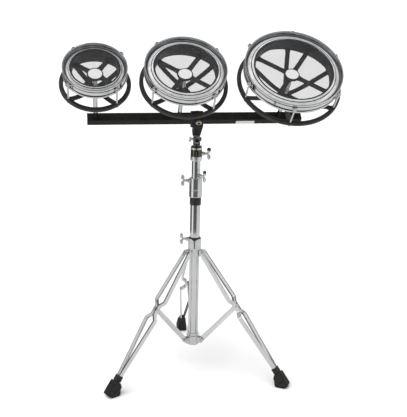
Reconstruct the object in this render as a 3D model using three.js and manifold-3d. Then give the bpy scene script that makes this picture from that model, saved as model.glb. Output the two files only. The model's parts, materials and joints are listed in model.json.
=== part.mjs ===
// Three drums that are tuned by turning them on threaded posts, on one rail and a folding tripod stand.
// Millimetres, Z up. X runs to the right, Y away from the player, and the drums lean towards the player.

import * as THREE from 'three';
import { mergeVertices } from 'three/addons/utils/BufferGeometryUtils.js';
import Module from 'manifold-3d';

const wasm = await Module();
wasm.setup();

// Clearances
const SEAT_GAP = 0.3;
const RUNNING_GAP = 0.8;
const OVERRUN = 2;

// Facets round each kind of piece
const TUBE_SIDES = 18;
const POST_SIDES = 8;
const PIN_SIDES = 6;
const BOLT_SIDES = 5;
const HEX_SIDES = 6;
const LUG_SIDES = 8;
const BEND_STEPS = 2;
const SMALL_DRUM_SIDES = 20;
const MEDIUM_DRUM_SIDES = 24;
const LARGE_DRUM_SIDES = 28;

// Base tube and its lower hub
const BASE_TUBE_RADIUS = 15.9;
const TUBE_WALL = 1.5;
const BASE_TUBE_TOP = 612;
const LOWER_HUB_BOTTOM = 91;
const LOWER_HUB_HEIGHT = 31;
const LOWER_HUB_RADIUS = 20.5;
const LOWER_SLEEVE_HEIGHT = 9;
const LOWER_SLEEVE_RADIUS = 18.6;
const BRACE_PIVOT_RADIUS = 30;
const BRACE_PIVOT_Z = 108;

// Leg hub that slides on the base tube
const LEG_PIVOT_RADIUS = 28;
const LEG_PIVOT_Z = 410;
const LEG_HUB_RADIUS = 21.5;
const LEG_HUB_DROP = 14;
const LEG_HUB_RISE = 45;
const HUB_BUSHING_WALL = 1.7;
const HUB_BUSHING_PROUD = 4;
const HUB_SLOT_WIDTH = 3;
const HUB_SLOT_BOTTOM = 14;
const HUB_NOTCH_DEPTH = 6;
const HUB_NOTCH_WIDTH = 20;
const HUB_SCREW_RISE = 41;
const EYE_RADIUS = 8.5;
const EYE_PIN_RADIUS = 3;
const PIN_HEAD_RADIUS = 5;
const PIN_HEAD_HEIGHT = 2.4;

// Legs: two pressed channel strips each, on a rubber foot
const LEG_AZIMUTHS = [218.8, 338.8, 98.8];
const FOOT_REACH = 311.7;
const FOOT_AXIS_Z = 20;
const STRIP_WIDTH = 14;
const STRIP_DEPTH = 5;
const STRIP_METAL = 1.5;
const STRIP_TOP_OFFSET = 12;
const STRIP_BOW_OFFSET = 22.5;
const STRIP_PINCH_OFFSET = 6.2;
const STRIP_FOOT_OFFSET = 5;
const PINCH_SHARE = 0.42;
const STRIP_BEND_SHARES = [
  [0.36, 1],
  [0.392, 0.08],
  [0.404, 0],
  [0.45, 0],
  [0.462, 0.08],
  [0.494, 1],
];
const FOOT_LENGTH = 73;
const FOOT_ROUND = 4;
const FOOT_COLLAR_LENGTH = 17;
const FOOT_COLLAR_WIDTH = 21;
const FOOT_COLLAR_DEPTH = 20;
const FOOT_GROOVE_LENGTH = 2.5;
const FOOT_GROOVE_WIDTH = 18;
const FOOT_GROOVE_DEPTH = 18.4;
const FOOT_SHOULDER_WIDTH = 28.5;
const FOOT_SHOULDER_DEPTH = 28;
const FOOT_TOE_SETBACK = 56.5;
const FOOT_HEEL_OUTSET = 27;
const FOOT_BASE_LENGTH = 69;
const FOOT_BASE_DEPTH = 34;
const FOOT_POCKET_DEPTH = 26;

// Braces
const BRACE_WIDTH = 15;
const BRACE_THICKNESS = 5;
const BRACE_PRESS_WIDTH = 8;
const BRACE_PRESS_DEPTH = 1.3;
const CLEVIS_EAR_THICKNESS = 5.5;

// Height clamp and its sleeve, at the top of the base tube
const CLAMP_RADIUS = 20.5;
const CLAMP_BOTTOM = 590;
const CLAMP_FLANGE_HEIGHT = 21;
const CLAMP_WAIST_RADIUS = 19.4;
const CLAMP_GROOVE_HEIGHT = 3;
const CLAMP_TOP = 651;
const CLAMP_SCREW_Z = 641;
const CLAMP_SLOT_WIDTH = 3;
const SLEEVE_RADIUS = 17.9;
const SLEEVE_HEIGHT = 25;
const BOSS_RADIUS = 6.5;
const BOSS_REACH = 5.5;

// Upper tube, memory collar and top clamp
const UPPER_TUBE_RADIUS = 13.6;
const UPPER_TUBE_BOTTOM = 250;
const UPPER_TUBE_TOP = 735;
const MEMORY_RADIUS = 20;
const MEMORY_HEIGHT = 17;
const MEMORY_NOTCH_WIDTH = 14;
const MEMORY_NOTCH_DEPTH = 5;
const MEMORY_SCREW_AZIMUTH = -45;
const TOP_CLAMP_RADIUS = 18.5;
const TOP_CLAMP_BOTTOM = 705;
const TOP_CLAMP_TOP = 747;
const TOP_CLAMP_CHAMFER = 3;
const TOP_BUSHING_RADIUS = 16.6;
const TOP_BUSHING_HEIGHT = 4.4;
const TOP_BUSHING_DROP = 10;
const TOP_SCREW_Z = 728;
const TOP_SCREW_AZIMUTH = -8;

// Wing screws
const SCREW_RADIUS = 3;
const SCREW_NECK_RADIUS = 5;
const SCREW_NECK_LENGTH = 8;
const WING_SPAN = 38;
const WING_LOBE_RADIUS = 6.2;
const WING_BAR_WIDTH = 6;
const WING_THICKNESS = 3.6;
const WING_RAKE = 4;
const WING_LOBE_SHARE = 0.72;
const SMALL_WING_SHARE = 0.7;

// Tilter
const STEM_RADIUS = 9.5;
const STEM_DROP = 62;
const HINGE_Z = 772;
const TILTER_YAW = 9.19;
const TILT = 43.74;
const RAIL_SKEW = 0.76;
const CLEVIS_WIDTH = 20;
const CLEVIS_EYE_RADIUS = 11;
const CLEVIS_BASE_DROP = 18;
const TONGUE_WIDTH = 10;
const TONGUE_EYE_RADIUS = 10.5;
const HEAD_PLATE_RISE = 24.7;
const HEAD_PLATE_WIDTH = 13;
const HEAD_PLATE_DEPTH = 18;
const HEAD_PLATE_HEIGHT = 5;
const TILTER_BOLT_RADIUS = 3;
const KNOB_RADIUS = 6.4;
const KNOB_LENGTH = 4;

// Rail and its bracket
const RAIL_RISE = 112.8;
const RAIL_DEPTH = 28;
const RAIL_HEIGHT = 22.5;
const RAIL_WALL = 2;
const RAIL_CORNER = 2.4;
const RAIL_LEFT_MARGIN = 24.4;
const RAIL_RIGHT_MARGIN = 70;
const BRACKET_SHIFT = -11;
const BRACKET_LENGTH = 37;
const BRACKET_WALL = 3;
const BRACKET_FLOOR = 11;
const BLOCK_SHIFT = -5;
const BLOCK_TOP_WIDTH = 29.5;
const BLOCK_BOTTOM_WIDTH = 24.5;
const BLOCK_TOP_DEPTH = 26;
const BLOCK_BOTTOM_DEPTH = 21;
const BRACKET_BOLT_RADIUS = 3;
const BRACKET_BOLT_HEAD_RADIUS = 9;
const BRACKET_BOLT_HEAD_HEIGHT = 6.5;
const BRACKET_BOLT_SHIFT = -8;
const BRACKET_BOLT_RISE = 4;
const BRACKET_NUT_RADIUS = 6.5;
const BRACKET_NUT_HEIGHT = 4;

// Centre posts
const POST_RADIUS = 6;
const POST_STUD_RADIUS = 5;
const POST_STUD_DROP = 10;
const POST_PIN_RADIUS = 4.5;
const NUT_RADIUS = 9;
const NUT_HEIGHT = 6;
const NUT_FLANGE_RADIUS = 11.5;
const NUT_FLANGE_HEIGHT = 2;

// Drums: heights are above the rail's top face, radii from the post's centre line
const SMALL_HOOP_RADIUS = 85.5;
const MEDIUM_HOOP_RADIUS = 112;
const LARGE_HOOP_RADIUS = 138;
const SMALL_EDGE_RADIUS = 65.6;
const MEDIUM_EDGE_RADIUS = 87;
const LARGE_EDGE_RADIUS = 111;
const MEDIUM_DRUM_PLACE = -64.8;
const LEFT_DRUM_GAP = 22;
const RIGHT_DRUM_GAP = 27.7;
const SHALLOW_DISH = 20;
const DEEP_DISH = 47;
const SMALL_WHEEL_ARMS = 4;
const LARGE_WHEEL_ARMS = 6;
const SMALL_WHEEL_ARM_START = 37.5;
const LARGE_WHEEL_ARM_START = 21;
const HEAD_HEIGHT = 203.4;
const FILM_THICKNESS = 0.8;
const COLLAR_DROP = 8.4;
const HOOP_LIP_RISE = 4;
const HOOP_DEPTH = 30;
const HOOP_WALL = 1.7;
const HOOP_LIP_WIDTH = 3;
const HOOP_LIP_HEIGHT = 4;
const HOOP_BEAD_HEIGHT = 4;
const HOOP_SEAT_WIDTH = 6;
const HOOP_SEAT_THICKNESS = 2.2;
const FLESH_HOOP_WIDTH = 8.3;
const FLESH_HOOP_HEIGHT = 8;
const ROD_OUTSET = 4.6;
const ROD_RADIUS = 2.5;
const EAR_WIDTH = 12;
const EAR_THICKNESS = 3;
const EAR_DROP = 6;
const EAR_MARGIN = 5.5;
const ROD_HEAD_RADIUS = 4.4;
const ROD_HEAD_HEIGHT = 5;
const RING_HEIGHT = 139;
const RING_MARGIN = 6.4;
const RING_WIDTH = 11.5;
const RING_THICKNESS = 11;
const RING_CHAMFER = 2.5;
const ARM_WIDTH = 13;
const ARM_FLARE = 5;
const ARM_FLARE_LENGTH = 16;
const ARM_THICKNESS = 6;
const LOWER_BOSS_RADIUS = 15;
const LOWER_BOSS_HEIGHT = 17;
const RIM_DEPTH = 30;
const RIM_WALL = 4.5;
const RIM_EDGE_WIDTH = 3;
const RIM_EDGE_HEIGHT = 3;
const UPPER_ARMS = 4;
const UPPER_ARM_START = 55;
const UPPER_ARM_THICKNESS = 6;
const UPPER_ARM_WIDTH = 13;
const UPPER_DISC_RADIUS = 22;
const UPPER_BOSS_RADIUS = 11;
const UPPER_BOSS_DROP = 9;

const FULL_TURN = 360;
const radians = THREE.MathUtils.degToRad;

// The drums stand side by side on the rail, with the tilter's axis at X = 0
const ringReach = (hoopRadius) => hoopRadius + ROD_OUTSET + RING_MARGIN;
const mediumReach = ringReach(MEDIUM_HOOP_RADIUS);
const smallDrumPlace = MEDIUM_DRUM_PLACE - mediumReach - LEFT_DRUM_GAP - ringReach(SMALL_HOOP_RADIUS);
const largeDrumPlace = MEDIUM_DRUM_PLACE + mediumReach + RIGHT_DRUM_GAP + ringReach(LARGE_HOOP_RADIUS);
const railLeftEnd = smallDrumPlace - RAIL_LEFT_MARGIN;
const railRightEnd = largeDrumPlace + RAIL_RIGHT_MARGIN;

const drums = [
  {
    name: 'small',
    place: smallDrumPlace,
    hoopRadius: SMALL_HOOP_RADIUS,
    edgeRadius: SMALL_EDGE_RADIUS,
    dish: SHALLOW_DISH,
    arms: SMALL_WHEEL_ARMS,
    armStart: SMALL_WHEEL_ARM_START,
    sides: SMALL_DRUM_SIDES,
  },
  {
    name: 'medium',
    place: MEDIUM_DRUM_PLACE,
    hoopRadius: MEDIUM_HOOP_RADIUS,
    edgeRadius: MEDIUM_EDGE_RADIUS,
    dish: SHALLOW_DISH,
    arms: SMALL_WHEEL_ARMS,
    armStart: SMALL_WHEEL_ARM_START,
    sides: MEDIUM_DRUM_SIDES,
  },
  {
    name: 'large',
    place: largeDrumPlace,
    hoopRadius: LARGE_HOOP_RADIUS,
    edgeRadius: LARGE_EDGE_RADIUS,
    dish: DEEP_DISH,
    arms: LARGE_WHEEL_ARMS,
    armStart: LARGE_WHEEL_ARM_START,
    sides: LARGE_DRUM_SIDES,
  },
];

// Materials
const finish = (color, roughness, metalness) => (
  new THREE.MeshStandardMaterial({ color, roughness, metalness, flatShading: true })
);
const chrome = () => finish(0xc9cacc, 0.18, 1);
const brushedAluminium = () => finish(0xd4d5d6, 0.32, 1);
const blackPaint = () => finish(0x1d1c1a, 0.42, 0.1);
const blackCasting = () => finish(0x2c2b28, 0.38, 0.3);
const blackPlastic = () => finish(0x17171a, 0.5, 0);
const rubber = () => finish(0x232422, 0.75, 0);
const brass = () => finish(0xb5ad95, 0.3, 0.9);
const clearFilm = () => {
  const film = finish(0xe5e8e8, 0.12, 0);
  film.transparent = true;
  film.opacity = 0.35;
  return film;
};

// Joins and cuts of closed shapes
function signedVolume(position, corners) {
  const [a, b, c] = [new THREE.Vector3(), new THREE.Vector3(), new THREE.Vector3()];
  let total = 0;
  for (let i = 0; i < corners.length; i += 3) {
    a.fromBufferAttribute(position, corners[i]);
    b.fromBufferAttribute(position, corners[i + 1]);
    c.fromBufferAttribute(position, corners[i + 2]);
    total += a.dot(b.cross(c));
  }
  return total;
}

function toSolid(geometry) {
  const bare = geometry.clone();
  bare.deleteAttribute('normal');
  bare.deleteAttribute('uv');
  const merged = mergeVertices(bare);
  const position = merged.getAttribute('position');
  const index = merged.getIndex().array;
  const corners = [];
  for (let i = 0; i < index.length; i += 3) {
    const [a, b, c] = index.slice(i, i + 3);
    if (a !== b && b !== c && c !== a) corners.push(a, b, c);
  }
  if (signedVolume(position, corners) < 0) corners.reverse();
  const vertProperties = new Float32Array(position.array);
  const triVerts = new Uint32Array(corners);
  return new wasm.Manifold(new wasm.Mesh({ numProp: 3, vertProperties, triVerts }));
}

function toGeometry(solid) {
  const mesh = solid.getMesh();
  const geometry = new THREE.BufferGeometry();
  geometry.setAttribute('position', new THREE.BufferAttribute(mesh.vertProperties, 3));
  geometry.setIndex(new THREE.BufferAttribute(mesh.triVerts, 1));
  return geometry;
}

function join(first, ...others) {
  return toGeometry(others.reduce((sum, piece) => sum.add(toSolid(piece)), toSolid(first)));
}

function cut(body, ...tools) {
  return toGeometry(tools.reduce((rest, tool) => rest.subtract(toSolid(tool)), toSolid(body)));
}

function common(first, second) {
  return toGeometry(toSolid(first).intersect(toSolid(second)));
}

// Basic shapes, upright along Z
function boreRadius(radius, sides) {
  return radius / Math.cos(Math.PI / sides);
}

function cylinder(radius, bottom, top, sides, topRadius = radius) {
  const shape = new THREE.CylinderGeometry(topRadius, radius, top - bottom, sides);
  return shape.rotateX(Math.PI / 2).translate(0, 0, (bottom + top) / 2);
}

function block(width, depth, bottom, top) {
  return new THREE.BoxGeometry(width, depth, top - bottom).translate(0, 0, (bottom + top) / 2);
}

function revolve(profile, sides) {
  const points = [...profile, profile[0]].map(([radius, z]) => new THREE.Vector2(radius, z));
  return new THREE.LatheGeometry(points, sides).rotateX(Math.PI / 2);
}

function ring(inner, outer, bottom, top, sides) {
  return revolve([[inner, bottom], [outer, bottom], [outer, top], [inner, top]], sides);
}

function outline(points) {
  return new THREE.Shape(points.map(([x, y]) => new THREE.Vector2(x, y)));
}

// A flat outline in X and Y, given a thickness centred on Z = 0
function plate(shape, thickness, round = 0, steps = LUG_SIDES / 2) {
  const options = {
    depth: thickness - 2 * round,
    bevelEnabled: round > 0,
    bevelThickness: round,
    bevelSize: round,
    bevelOffset: -round,
    bevelSegments: 1,
    curveSegments: steps,
  };
  return new THREE.ExtrudeGeometry(shape, options).translate(0, 0, round - thickness / 2);
}

// The same outline standing up: X stays, Y becomes Z
function standing(shape, thickness, round = 0, steps = LUG_SIDES / 2) {
  return plate(shape, thickness, round, steps).rotateX(Math.PI / 2);
}

// A pin hole or screw bore along X, from the axis outwards
function boreAlongX(radius, from, to, z = 0) {
  return cylinder(boreRadius(radius, PIN_SIDES), from, to, PIN_SIDES).rotateY(Math.PI / 2).translate(0, 0, z);
}

// A pin hole across a lug that stands in the X-Z plane
function boreAlongY(radius, length, x, z) {
  const hole = cylinder(boreRadius(radius, PIN_SIDES), -length / 2, length / 2, PIN_SIDES);
  return hole.rotateX(Math.PI / 2).translate(x, 0, z);
}

function pinAlongY(radius, from, to) {
  return cylinder(radius, from, to, PIN_SIDES).rotateX(-Math.PI / 2);
}

function turned(geometry, degrees) {
  return geometry.clone().rotateZ(radians(degrees));
}

// A lug in the X-Z plane that ends in a round eye at (reach, 0)
function eyeLug(from, reach, radius, thickness) {
  const shape = new THREE.Shape();
  shape.moveTo(from, -radius);
  shape.lineTo(reach, -radius);
  shape.absarc(reach, 0, radius, -Math.PI / 2, Math.PI / 2, false);
  shape.lineTo(from, radius);
  return standing(shape, thickness);
}

// Leg geometry that several pieces share
const legRun = FOOT_REACH - LEG_PIVOT_RADIUS;
const legDrop = LEG_PIVOT_Z - FOOT_AXIS_Z;
const legSplay = Math.atan2(legRun, legDrop);
const legLength = Math.hypot(legRun, legDrop);
const pinchAlong = legLength * PINCH_SHARE;
const pinchRadius = LEG_PIVOT_RADIUS + pinchAlong * Math.sin(legSplay);
const pinchZ = LEG_PIVOT_Z - pinchAlong * Math.cos(legSplay);
const braceRun = pinchRadius - BRACE_PIVOT_RADIUS;
const braceRise = pinchZ - BRACE_PIVOT_Z;
const braceLength = Math.hypot(braceRun, braceRise);
const braceSplay = Math.atan2(braceRun, braceRise);
const soleAlong = (across) => (LEG_PIVOT_Z + across * Math.sin(legSplay)) / Math.cos(legSplay);
const footMouth = soleAlong(0) - FOOT_LENGTH;
const legEarThickness = 2 * (STRIP_TOP_OFFSET - STRIP_DEPTH / 2 - SEAT_GAP);

// A pressed channel swept along a bent path of [along, offset] stations
function channelStrip(stations) {
  const half = STRIP_WIDTH / 2;
  const deep = STRIP_DEPTH / 2;
  const section = [
    [-half, -deep], [-half, deep], [half, deep], [half, -deep],
    [half - STRIP_METAL, -deep], [half - STRIP_METAL, deep - STRIP_METAL],
    [STRIP_METAL - half, deep - STRIP_METAL], [STRIP_METAL - half, -deep],
  ];
  const points = stations.map(([along, offset]) => new THREE.Vector2(along, offset));
  const normals = points.slice(1).map((point, i) => {
    const step = point.clone().sub(points[i]).normalize();
    return new THREE.Vector2(-step.y, step.x);
  });
  const positions = [];
  points.forEach((point, i) => {
    const before = normals[Math.max(i - 1, 0)];
    const after = normals[Math.min(i, normals.length - 1)];
    const mitre = before.clone().add(after).divideScalar(1 + before.dot(after));
    section.forEach(([across, out]) => {
      positions.push(across, point.y + out * mitre.y, -(point.x + out * mitre.x));
    });
  });
  const corners = [];
  const size = section.length;
  for (let i = 0; i < points.length - 1; i += 1) {
    for (let j = 0; j < size; j += 1) {
      const [a, b] = [i * size + j, i * size + (j + 1) % size];
      corners.push(a, b, a + size, b, b + size, a + size);
    }
  }
  const caps = THREE.ShapeUtils.triangulateShape(section.map(([x, y]) => new THREE.Vector2(x, y)), []);
  const last = (points.length - 1) * size;
  const firstCapFlips = THREE.ShapeUtils.isClockWise(section.map(([x, y]) => new THREE.Vector2(x, y)));
  caps.forEach(([a, b, c]) => {
    if (firstCapFlips) corners.push(a, b, c, last + a, last + c, last + b);
    else corners.push(a, c, b, last + a, last + b, last + c);
  });
  const geometry = new THREE.BufferGeometry();
  geometry.setAttribute('position', new THREE.Float32BufferAttribute(positions, 3));
  geometry.setIndex(corners);
  return geometry;
}

// One of the leg's two strips, with the rivet that closes the pinch
function legStrip() {
  const bends = STRIP_BEND_SHARES.map(([alongShare, bowShare]) => [
    legLength * alongShare,
    STRIP_PINCH_OFFSET + (STRIP_BOW_OFFSET - STRIP_PINCH_OFFSET) * bowShare,
  ]);
  const half = STRIP_WIDTH / 2;
  const channel = channelStrip([
    [-half, STRIP_TOP_OFFSET],
    [EYE_RADIUS, STRIP_TOP_OFFSET],
    ...bends,
    [footMouth - SEAT_GAP, STRIP_FOOT_OFFSET],
    [footMouth + FOOT_POCKET_DEPTH - SEAT_GAP, STRIP_FOOT_OFFSET],
  ]);
  const width = 2 * (STRIP_BOW_OFFSET + STRIP_DEPTH);
  const roundTop = join(
    pinAlongY(boreRadius(half, LUG_SIDES), -width / 2, width / 2),
    block(STRIP_WIDTH + OVERRUN, width, -soleAlong(0), 0),
  );
  const strip = common(channel, roundTop);
  const face = STRIP_PINCH_OFFSET + STRIP_DEPTH / 2;
  const rivet = join(
    pinAlongY(PIN_HEAD_RADIUS, face - STRIP_METAL / 2, face + PIN_HEAD_HEIGHT),
    pinAlongY(EYE_PIN_RADIUS, face - STRIP_DEPTH, face),
  ).translate(0, 0, -pinchAlong);
  return join(cut(strip, boreAlongY(EYE_PIN_RADIUS + SEAT_GAP, width, 0, 0)), rivet);
}

// The pin through both strips and the hub's ear
function legPin() {
  const outer = STRIP_TOP_OFFSET + STRIP_DEPTH / 2 + SEAT_GAP;
  const head = pinAlongY(PIN_HEAD_RADIUS, outer, outer + PIN_HEAD_HEIGHT);
  return join(pinAlongY(EYE_PIN_RADIUS, -outer, outer), head, head.clone().scale(1, -1, 1));
}

// The neck of the foot, seen from one side: its collar, a groove and the shoulder of the body
function footNeck(side, collar, groove, shoulder) {
  const grooveEnd = FOOT_COLLAR_LENGTH + FOOT_GROOVE_LENGTH;
  return [
    [side * collar / 2, 0],
    [side * collar / 2, FOOT_COLLAR_LENGTH],
    [side * groove / 2, FOOT_COLLAR_LENGTH],
    [side * groove / 2, grooveEnd],
    [side * (shoulder - FOOT_ROUND) / 2, grooveEnd],
    [side * shoulder / 2, grooveEnd + FOOT_ROUND / 2],
  ];
}

// The foot: square to the leg at its toe, and cut level with the floor at its heel
function legFoot() {
  const fromMouth = (points) => outline(points.map(([across, down]) => [across, -(footMouth + down)]));
  const floorUnder = (across) => soleAlong(across) - footMouth;
  const toeOutset = FOOT_BASE_LENGTH - FOOT_TOE_SETBACK;
  const baseAlong = footMouth + FOOT_BASE_LENGTH;
  const toeEnd = (baseAlong * Math.cos(legSplay) - LEG_PIVOT_Z) / Math.sin(legSplay);
  const neckWidths = [FOOT_COLLAR_WIDTH, FOOT_GROOVE_WIDTH, FOOT_SHOULDER_WIDTH];
  const neckDepths = [FOOT_COLLAR_DEPTH, FOOT_GROOVE_DEPTH, FOOT_SHOULDER_DEPTH];
  const widths = standing(fromMouth([
    ...footNeck(1, ...neckWidths),
    [toeOutset, FOOT_BASE_LENGTH - FOOT_ROUND],
    [toeOutset - FOOT_ROUND, FOOT_BASE_LENGTH],
    [toeEnd, FOOT_BASE_LENGTH],
    [FOOT_ROUND - FOOT_HEEL_OUTSET, floorUnder(FOOT_ROUND - FOOT_HEEL_OUTSET)],
    [-FOOT_HEEL_OUTSET, floorUnder(-FOOT_HEEL_OUTSET) - FOOT_ROUND],
    ...footNeck(-1, ...neckWidths).reverse(),
  ]), FOOT_BASE_DEPTH + OVERRUN);
  const depths = acrossX(fromMouth([
    ...footNeck(1, ...neckDepths),
    [FOOT_BASE_DEPTH / 2, FOOT_BASE_LENGTH + OVERRUN],
    [-FOOT_BASE_DEPTH / 2, FOOT_BASE_LENGTH + OVERRUN],
    ...footNeck(-1, ...neckDepths).reverse(),
  ]), 2 * (FOOT_HEEL_OUTSET + OVERRUN));
  const pocketWidth = STRIP_WIDTH + 2 * SEAT_GAP;
  const pocketDepth = 2 * (STRIP_FOOT_OFFSET + STRIP_DEPTH / 2 + SEAT_GAP);
  const pocketBottom = -(footMouth + FOOT_POCKET_DEPTH);
  return cut(common(widths, depths), block(pocketWidth, pocketDepth, pocketBottom, OVERRUN - footMouth));
}

function brace() {
  const half = BRACE_WIDTH / 2;
  const bar = new THREE.Shape();
  bar.absarc(0, 0, half, Math.PI, 2 * Math.PI, false);
  bar.absarc(0, braceLength, half, 0, Math.PI, false);
  const press = new THREE.Shape();
  press.absarc(0, BRACE_WIDTH, BRACE_PRESS_WIDTH / 2, Math.PI, 2 * Math.PI, false);
  press.absarc(0, braceLength - BRACE_WIDTH, BRACE_PRESS_WIDTH / 2, 0, Math.PI, false);
  const depth = BRACE_PRESS_DEPTH + OVERRUN;
  const away = BRACE_THICKNESS / 2 - BRACE_PRESS_DEPTH + depth / 2;
  const eye = EYE_PIN_RADIUS + SEAT_GAP;
  return cut(
    standing(bar, BRACE_THICKNESS),
    standing(press, depth, 0, BEND_STEPS).translate(0, away, 0),
    standing(press, depth, 0, BEND_STEPS).translate(0, -away, 0),
    boreAlongY(eye, BRACE_WIDTH, 0, 0),
    boreAlongY(eye, BRACE_WIDTH, 0, braceLength),
  );
}

// Split collars and their screws
function screwBoss(reach, z) {
  return cylinder(BOSS_RADIUS, 0, reach, LUG_SIDES).rotateY(Math.PI / 2).translate(0, 0, z);
}

function wingScrew(tip, seat, share = 1) {
  const neckEnd = seat + SEAT_GAP + SCREW_NECK_LENGTH * share;
  const shank = cylinder(SCREW_RADIUS, tip, neckEnd, PIN_SIDES);
  const neck = cylinder(SCREW_NECK_RADIUS, seat + SEAT_GAP, neckEnd, PIN_SIDES, SCREW_RADIUS + SEAT_GAP);
  const lobeRadius = WING_LOBE_RADIUS * share;
  const lobePlace = WING_SPAN * share / 2 - lobeRadius;
  const barEnd = neckEnd + WING_BAR_WIDTH * share;
  const rake = WING_RAKE * share;
  const middle = (neckEnd + barEnd) / 2;
  const bar = outline([
    [-lobePlace, middle + rake - WING_BAR_WIDTH * share / 2],
    [-SCREW_RADIUS, neckEnd - SEAT_GAP],
    [SCREW_RADIUS, neckEnd - SEAT_GAP],
    [lobePlace, middle + rake - WING_BAR_WIDTH * share / 2],
    [lobePlace, middle + rake + WING_BAR_WIDTH * share / 2],
    [0, barEnd],
    [-lobePlace, middle + rake + WING_BAR_WIDTH * share / 2],
  ]);
  const lobe = (side) => {
    const disc = new THREE.Shape();
    const lobeDepth = lobeRadius * WING_LOBE_SHARE;
    disc.absellipse(side * lobePlace, middle + rake, lobeRadius, lobeDepth, 0, 2 * Math.PI);
    return standing(disc, WING_THICKNESS * share);
  };
  const upright = join(shank, neck, standing(bar, WING_THICKNESS * share), lobe(1), lobe(-1));
  return upright.rotateY(Math.PI / 2);
}

// Pieces of the stand
function baseTube() {
  const inner = BASE_TUBE_RADIUS - TUBE_WALL;
  return ring(inner, BASE_TUBE_RADIUS, LOWER_HUB_BOTTOM, BASE_TUBE_TOP, TUBE_SIDES);
}

function lowerHub() {
  const inner = BASE_TUBE_RADIUS + SEAT_GAP;
  const top = LOWER_HUB_BOTTOM + LOWER_HUB_HEIGHT;
  const barrel = revolve([
    [inner, LOWER_HUB_BOTTOM],
    [LOWER_HUB_RADIUS, LOWER_HUB_BOTTOM],
    [LOWER_HUB_RADIUS, top],
    [LOWER_SLEEVE_RADIUS, top],
    [LOWER_SLEEVE_RADIUS, top + LOWER_SLEEVE_HEIGHT],
    [inner, top + LOWER_SLEEVE_HEIGHT],
  ], TUBE_SIDES);
  const gap = BRACE_THICKNESS + 2 * RUNNING_GAP;
  const width = gap + 2 * CLEVIS_EAR_THICKNESS;
  const from = (inner + LOWER_HUB_RADIUS) / 2;
  const slotFrom = BRACE_PIVOT_RADIUS - BRACE_WIDTH / 2 - RUNNING_GAP;
  const slotTo = BRACE_PIVOT_RADIUS + EYE_RADIUS + OVERRUN;
  const slotHeight = 2 * (EYE_RADIUS + OVERRUN);
  const clevis = cut(
    eyeLug(from, BRACE_PIVOT_RADIUS, EYE_RADIUS, width),
    block(slotTo - slotFrom, gap, -slotHeight / 2, slotHeight / 2).translate((slotFrom + slotTo) / 2, 0, 0),
  ).translate(0, 0, BRACE_PIVOT_Z);
  const pins = LEG_AZIMUTHS.map((azimuth) => turned(bracePin(), azimuth));
  return join(barrel, ...LEG_AZIMUTHS.map((azimuth) => turned(clevis, azimuth)), ...pins);
}

// The riveted pin that a brace turns on
function bracePin() {
  const outer = BRACE_THICKNESS / 2 + RUNNING_GAP + CLEVIS_EAR_THICKNESS;
  const head = pinAlongY(PIN_HEAD_RADIUS, outer - CLEVIS_EAR_THICKNESS / 2, outer + PIN_HEAD_HEIGHT);
  const pin = join(pinAlongY(EYE_PIN_RADIUS, -outer, outer), head, head.clone().scale(1, -1, 1));
  return pin.translate(BRACE_PIVOT_RADIUS, 0, BRACE_PIVOT_Z);
}

const hubBushingInner = BASE_TUBE_RADIUS + RUNNING_GAP / 2;
const hubBushingOuter = hubBushingInner + HUB_BUSHING_WALL;

function legHub() {
  const inner = hubBushingOuter + SEAT_GAP;
  const barrel = ring(inner, LEG_HUB_RADIUS, -LEG_HUB_DROP, LEG_HUB_RISE, TUBE_SIDES);
  const ear = eyeLug((inner + LEG_HUB_RADIUS) / 2, LEG_PIVOT_RADIUS, EYE_RADIUS, legEarThickness);
  const pinBore = EYE_PIN_RADIUS + RUNNING_GAP / 2;
  const pinHole = boreAlongY(pinBore, legEarThickness + OVERRUN, LEG_PIVOT_RADIUS, 0);
  const ears = LEG_AZIMUTHS.map((azimuth) => turned(ear, azimuth));
  const pinHoles = LEG_AZIMUTHS.map((azimuth) => turned(pinHole, azimuth));
  const boss = turned(screwBoss(LEG_HUB_RADIUS + BOSS_REACH, HUB_SCREW_RISE), 180);
  const clear = cylinder(inner, -LEG_HUB_DROP - OVERRUN, LEG_HUB_RISE + BOSS_RADIUS, TUBE_SIDES);
  const screwReach = LEG_HUB_RADIUS + BOSS_REACH + OVERRUN;
  const screwHole = turned(boreAlongX(SCREW_RADIUS + SEAT_GAP, 0, screwReach, HUB_SCREW_RISE), 180);
  const slot = block(HUB_SLOT_WIDTH, LEG_HUB_RADIUS, HUB_SLOT_BOTTOM, LEG_HUB_RISE + OVERRUN);
  slot.translate(0, -LEG_HUB_RADIUS, 0);
  const notch = standing(outline([
    [-HUB_NOTCH_WIDTH / 2, LEG_HUB_RISE + OVERRUN],
    [-HUB_NOTCH_WIDTH / 2, LEG_HUB_RISE],
    [0, LEG_HUB_RISE - HUB_NOTCH_DEPTH],
    [HUB_NOTCH_WIDTH / 2, LEG_HUB_RISE],
    [HUB_NOTCH_WIDTH / 2, LEG_HUB_RISE + OVERRUN],
  ]), LEG_HUB_RADIUS).translate(0, -LEG_HUB_RADIUS, 0);
  return cut(join(barrel, boss, ...ears), clear, screwHole, slot, notch, ...pinHoles);
}

function legHubBushing() {
  const bottom = -LEG_HUB_DROP;
  return ring(hubBushingInner, hubBushingOuter, bottom, LEG_HUB_RISE + HUB_BUSHING_PROUD, TUBE_SIDES);
}

function clampCuts(radius, bottom, top, screwZ, azimuth) {
  const slot = block(CLAMP_SLOT_WIDTH, radius, bottom, top + OVERRUN).translate(0, -radius, 0);
  const reach = radius + BOSS_REACH + OVERRUN;
  const hole = turned(boreAlongX(SCREW_RADIUS + SEAT_GAP, 0, reach, screwZ), azimuth);
  return [slot, hole];
}

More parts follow.
